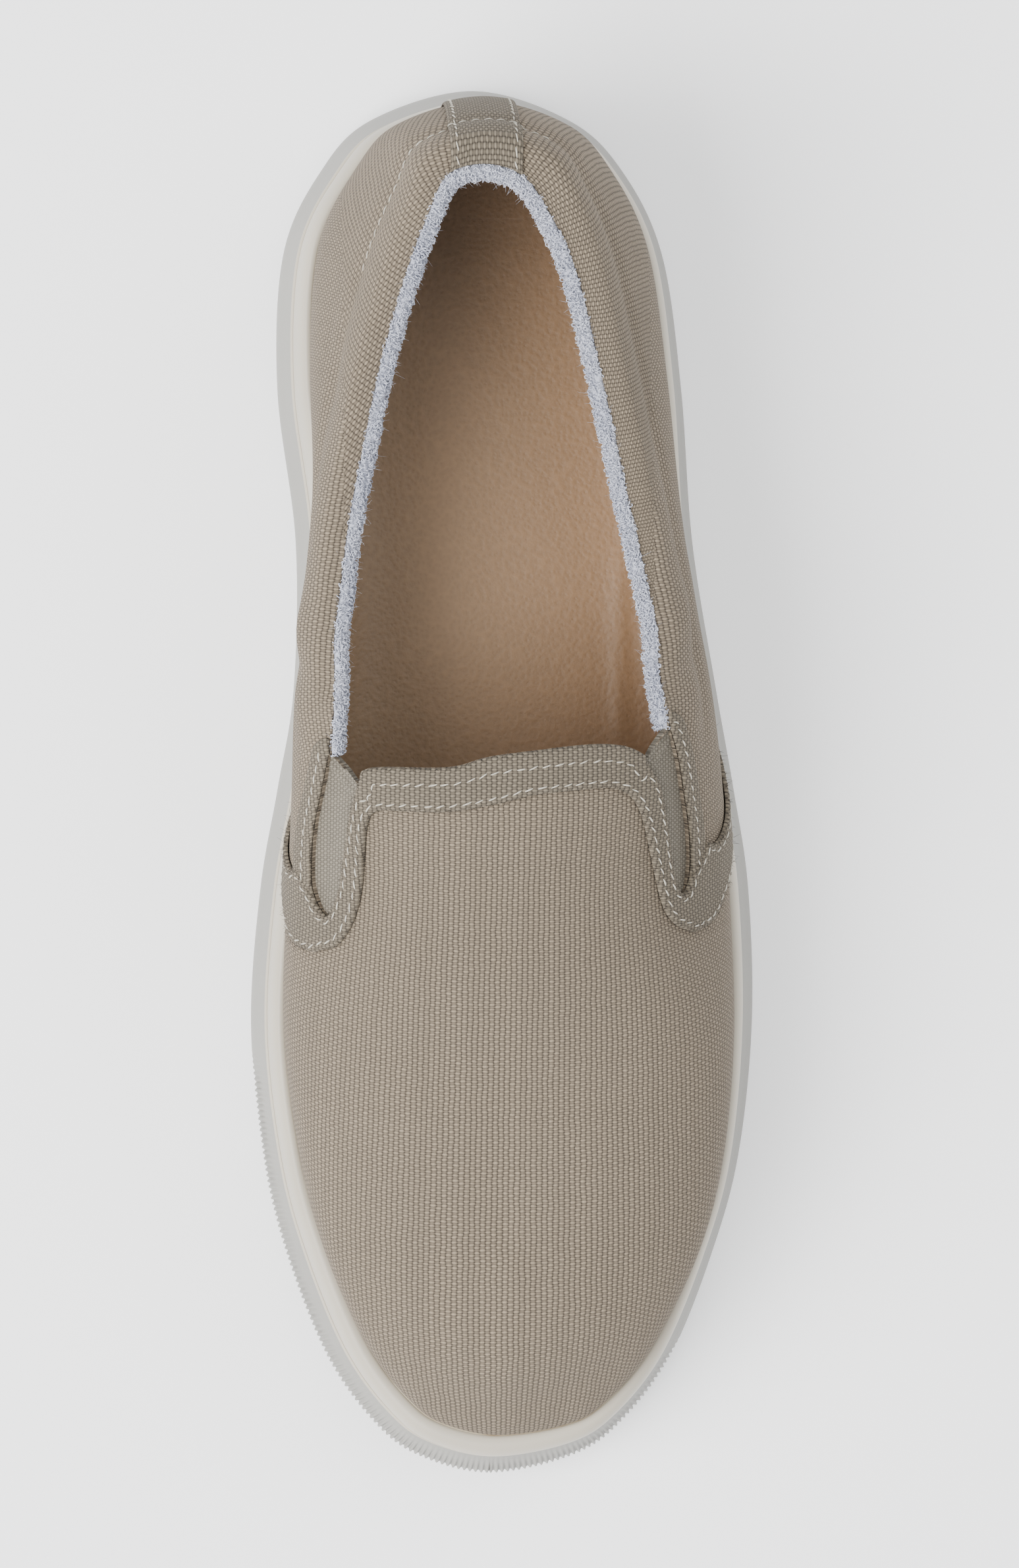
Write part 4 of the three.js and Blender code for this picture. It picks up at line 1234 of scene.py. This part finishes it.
def make_insole():
    """The leather sock, with a raised edge and a slight fold along its lateral side."""
    edge = form.rim_width + 2 * GAP + CANVAS
    under = form.rim_top - CUP_DEPTH + GAP
    profile = [
        (0.0, INSOLE + INSOLE_LIP + 1.2),
        (1.2, INSOLE + INSOLE_LIP + 0.4),
        (4, INSOLE + 0.9),
        (8, INSOLE + 0.25),
        (14, INSOLE),
    ]
    rings = [form.sole_ring(edge, under)]
    rings += [form.sole_ring(edge + inset, under + high) for inset, high in open_curve(profile, 5)]
    last = rings[-1]
    opposite = last[(-np.arange(len(last))) % len(last)]
    rings += [last + (opposite - last) * t for t in np.linspace(0, 0.5, 14)[1:]]
    for points in rings[1:]:
        fold = hill(points[:, 0], 22.0, 1.6) * smoothstep(points[:, 1], 2, 14)
        points[:, 2] += 0.45 * fold * (1 - smoothstep(points[:, 1], 36, 50))
    make_object("insole_leather", ring_stack(rings), insole_leather, "insole")


# Camera, light and floor
def make_floor():
    half = 3.0
    low = -FLOOR_DROP * MM
    corners = [(x, y, low) for x, y in ((-half, -half), (half, -half), (half, half), (-half, half))]
    mesh = bpy.data.meshes.new("floor")
    mesh.from_pydata(corners, [], [(0, 1, 2, 3)])
    new_object("floor", mesh)

    def build(tree):
        patch = noise(tree, 3.0, 2)
        base = blend(tree, patch, colour(243, 243, 243), colour(247, 247, 247))
        return base, calc(tree, "MULTIPLY", patch, 0.0)

    glow = {"Emission_Color": (1, 1, 1, 1), "Emission_Strength": 0.4}
    mesh.materials.append(shader("floor", build, Roughness=0.9, **glow))


def add_light(name, place, size, power):
    data = bpy.data.lights.new(name, "AREA")
    data.shape = "SQUARE"
    data.size = size
    data.energy = power
    lamp = new_object(name, data)
    lamp.location = place
    lamp.rotation_mode = "QUATERNION"
    lamp.rotation_quaternion = (-Vector(place)).to_track_quat("-Z", "Y")


def make_camera():
    data = bpy.data.cameras.new("camera")
    data.lens = CAMERA_LENS
    data.sensor_width = 36
    data.clip_start = 0.05
    data.clip_end = 50
    camera = new_object("camera", data)
    camera.location = CAMERA_PLACE
    ahead = (Vector(CAMERA_AIM) - Vector(CAMERA_PLACE)).normalized()
    right = ahead.cross(Vector((0, 1, 0))).normalized()
    upward = right.cross(ahead)
    camera.rotation_mode = "QUATERNION"
    camera.rotation_quaternion = Matrix((right, upward, -ahead)).transposed().to_quaternion()
    bpy.context.scene.camera = camera


def make_studio():
    world = bpy.data.worlds.new("studio")
    world.use_nodes = True
    background = world.node_tree.nodes["Background"]
    background.inputs["Color"].default_value = (0.95, 0.97, 1.0, 1)
    background.inputs["Strength"].default_value = 1.0
    bpy.context.scene.world = world
    add_light("key", (-1.0, -0.4, 1.3), 1.2, 66)
    add_light("fill", (0.9, 0.5, 1.5), 1.4, 15)


make_canvas()
make_lining()
make_trim()
make_quarter_tapes()
make_heel_strip()
make_collar_stitches()
make_gore(MEDIAL, "elastic_medial", "gore_medial")
make_gore(LATERAL, "elastic_lateral", "gore_lateral")
make_towelling()
make_rim()
make_outsole()
make_tread()
make_insole()
make_floor()
make_camera()
make_studio()
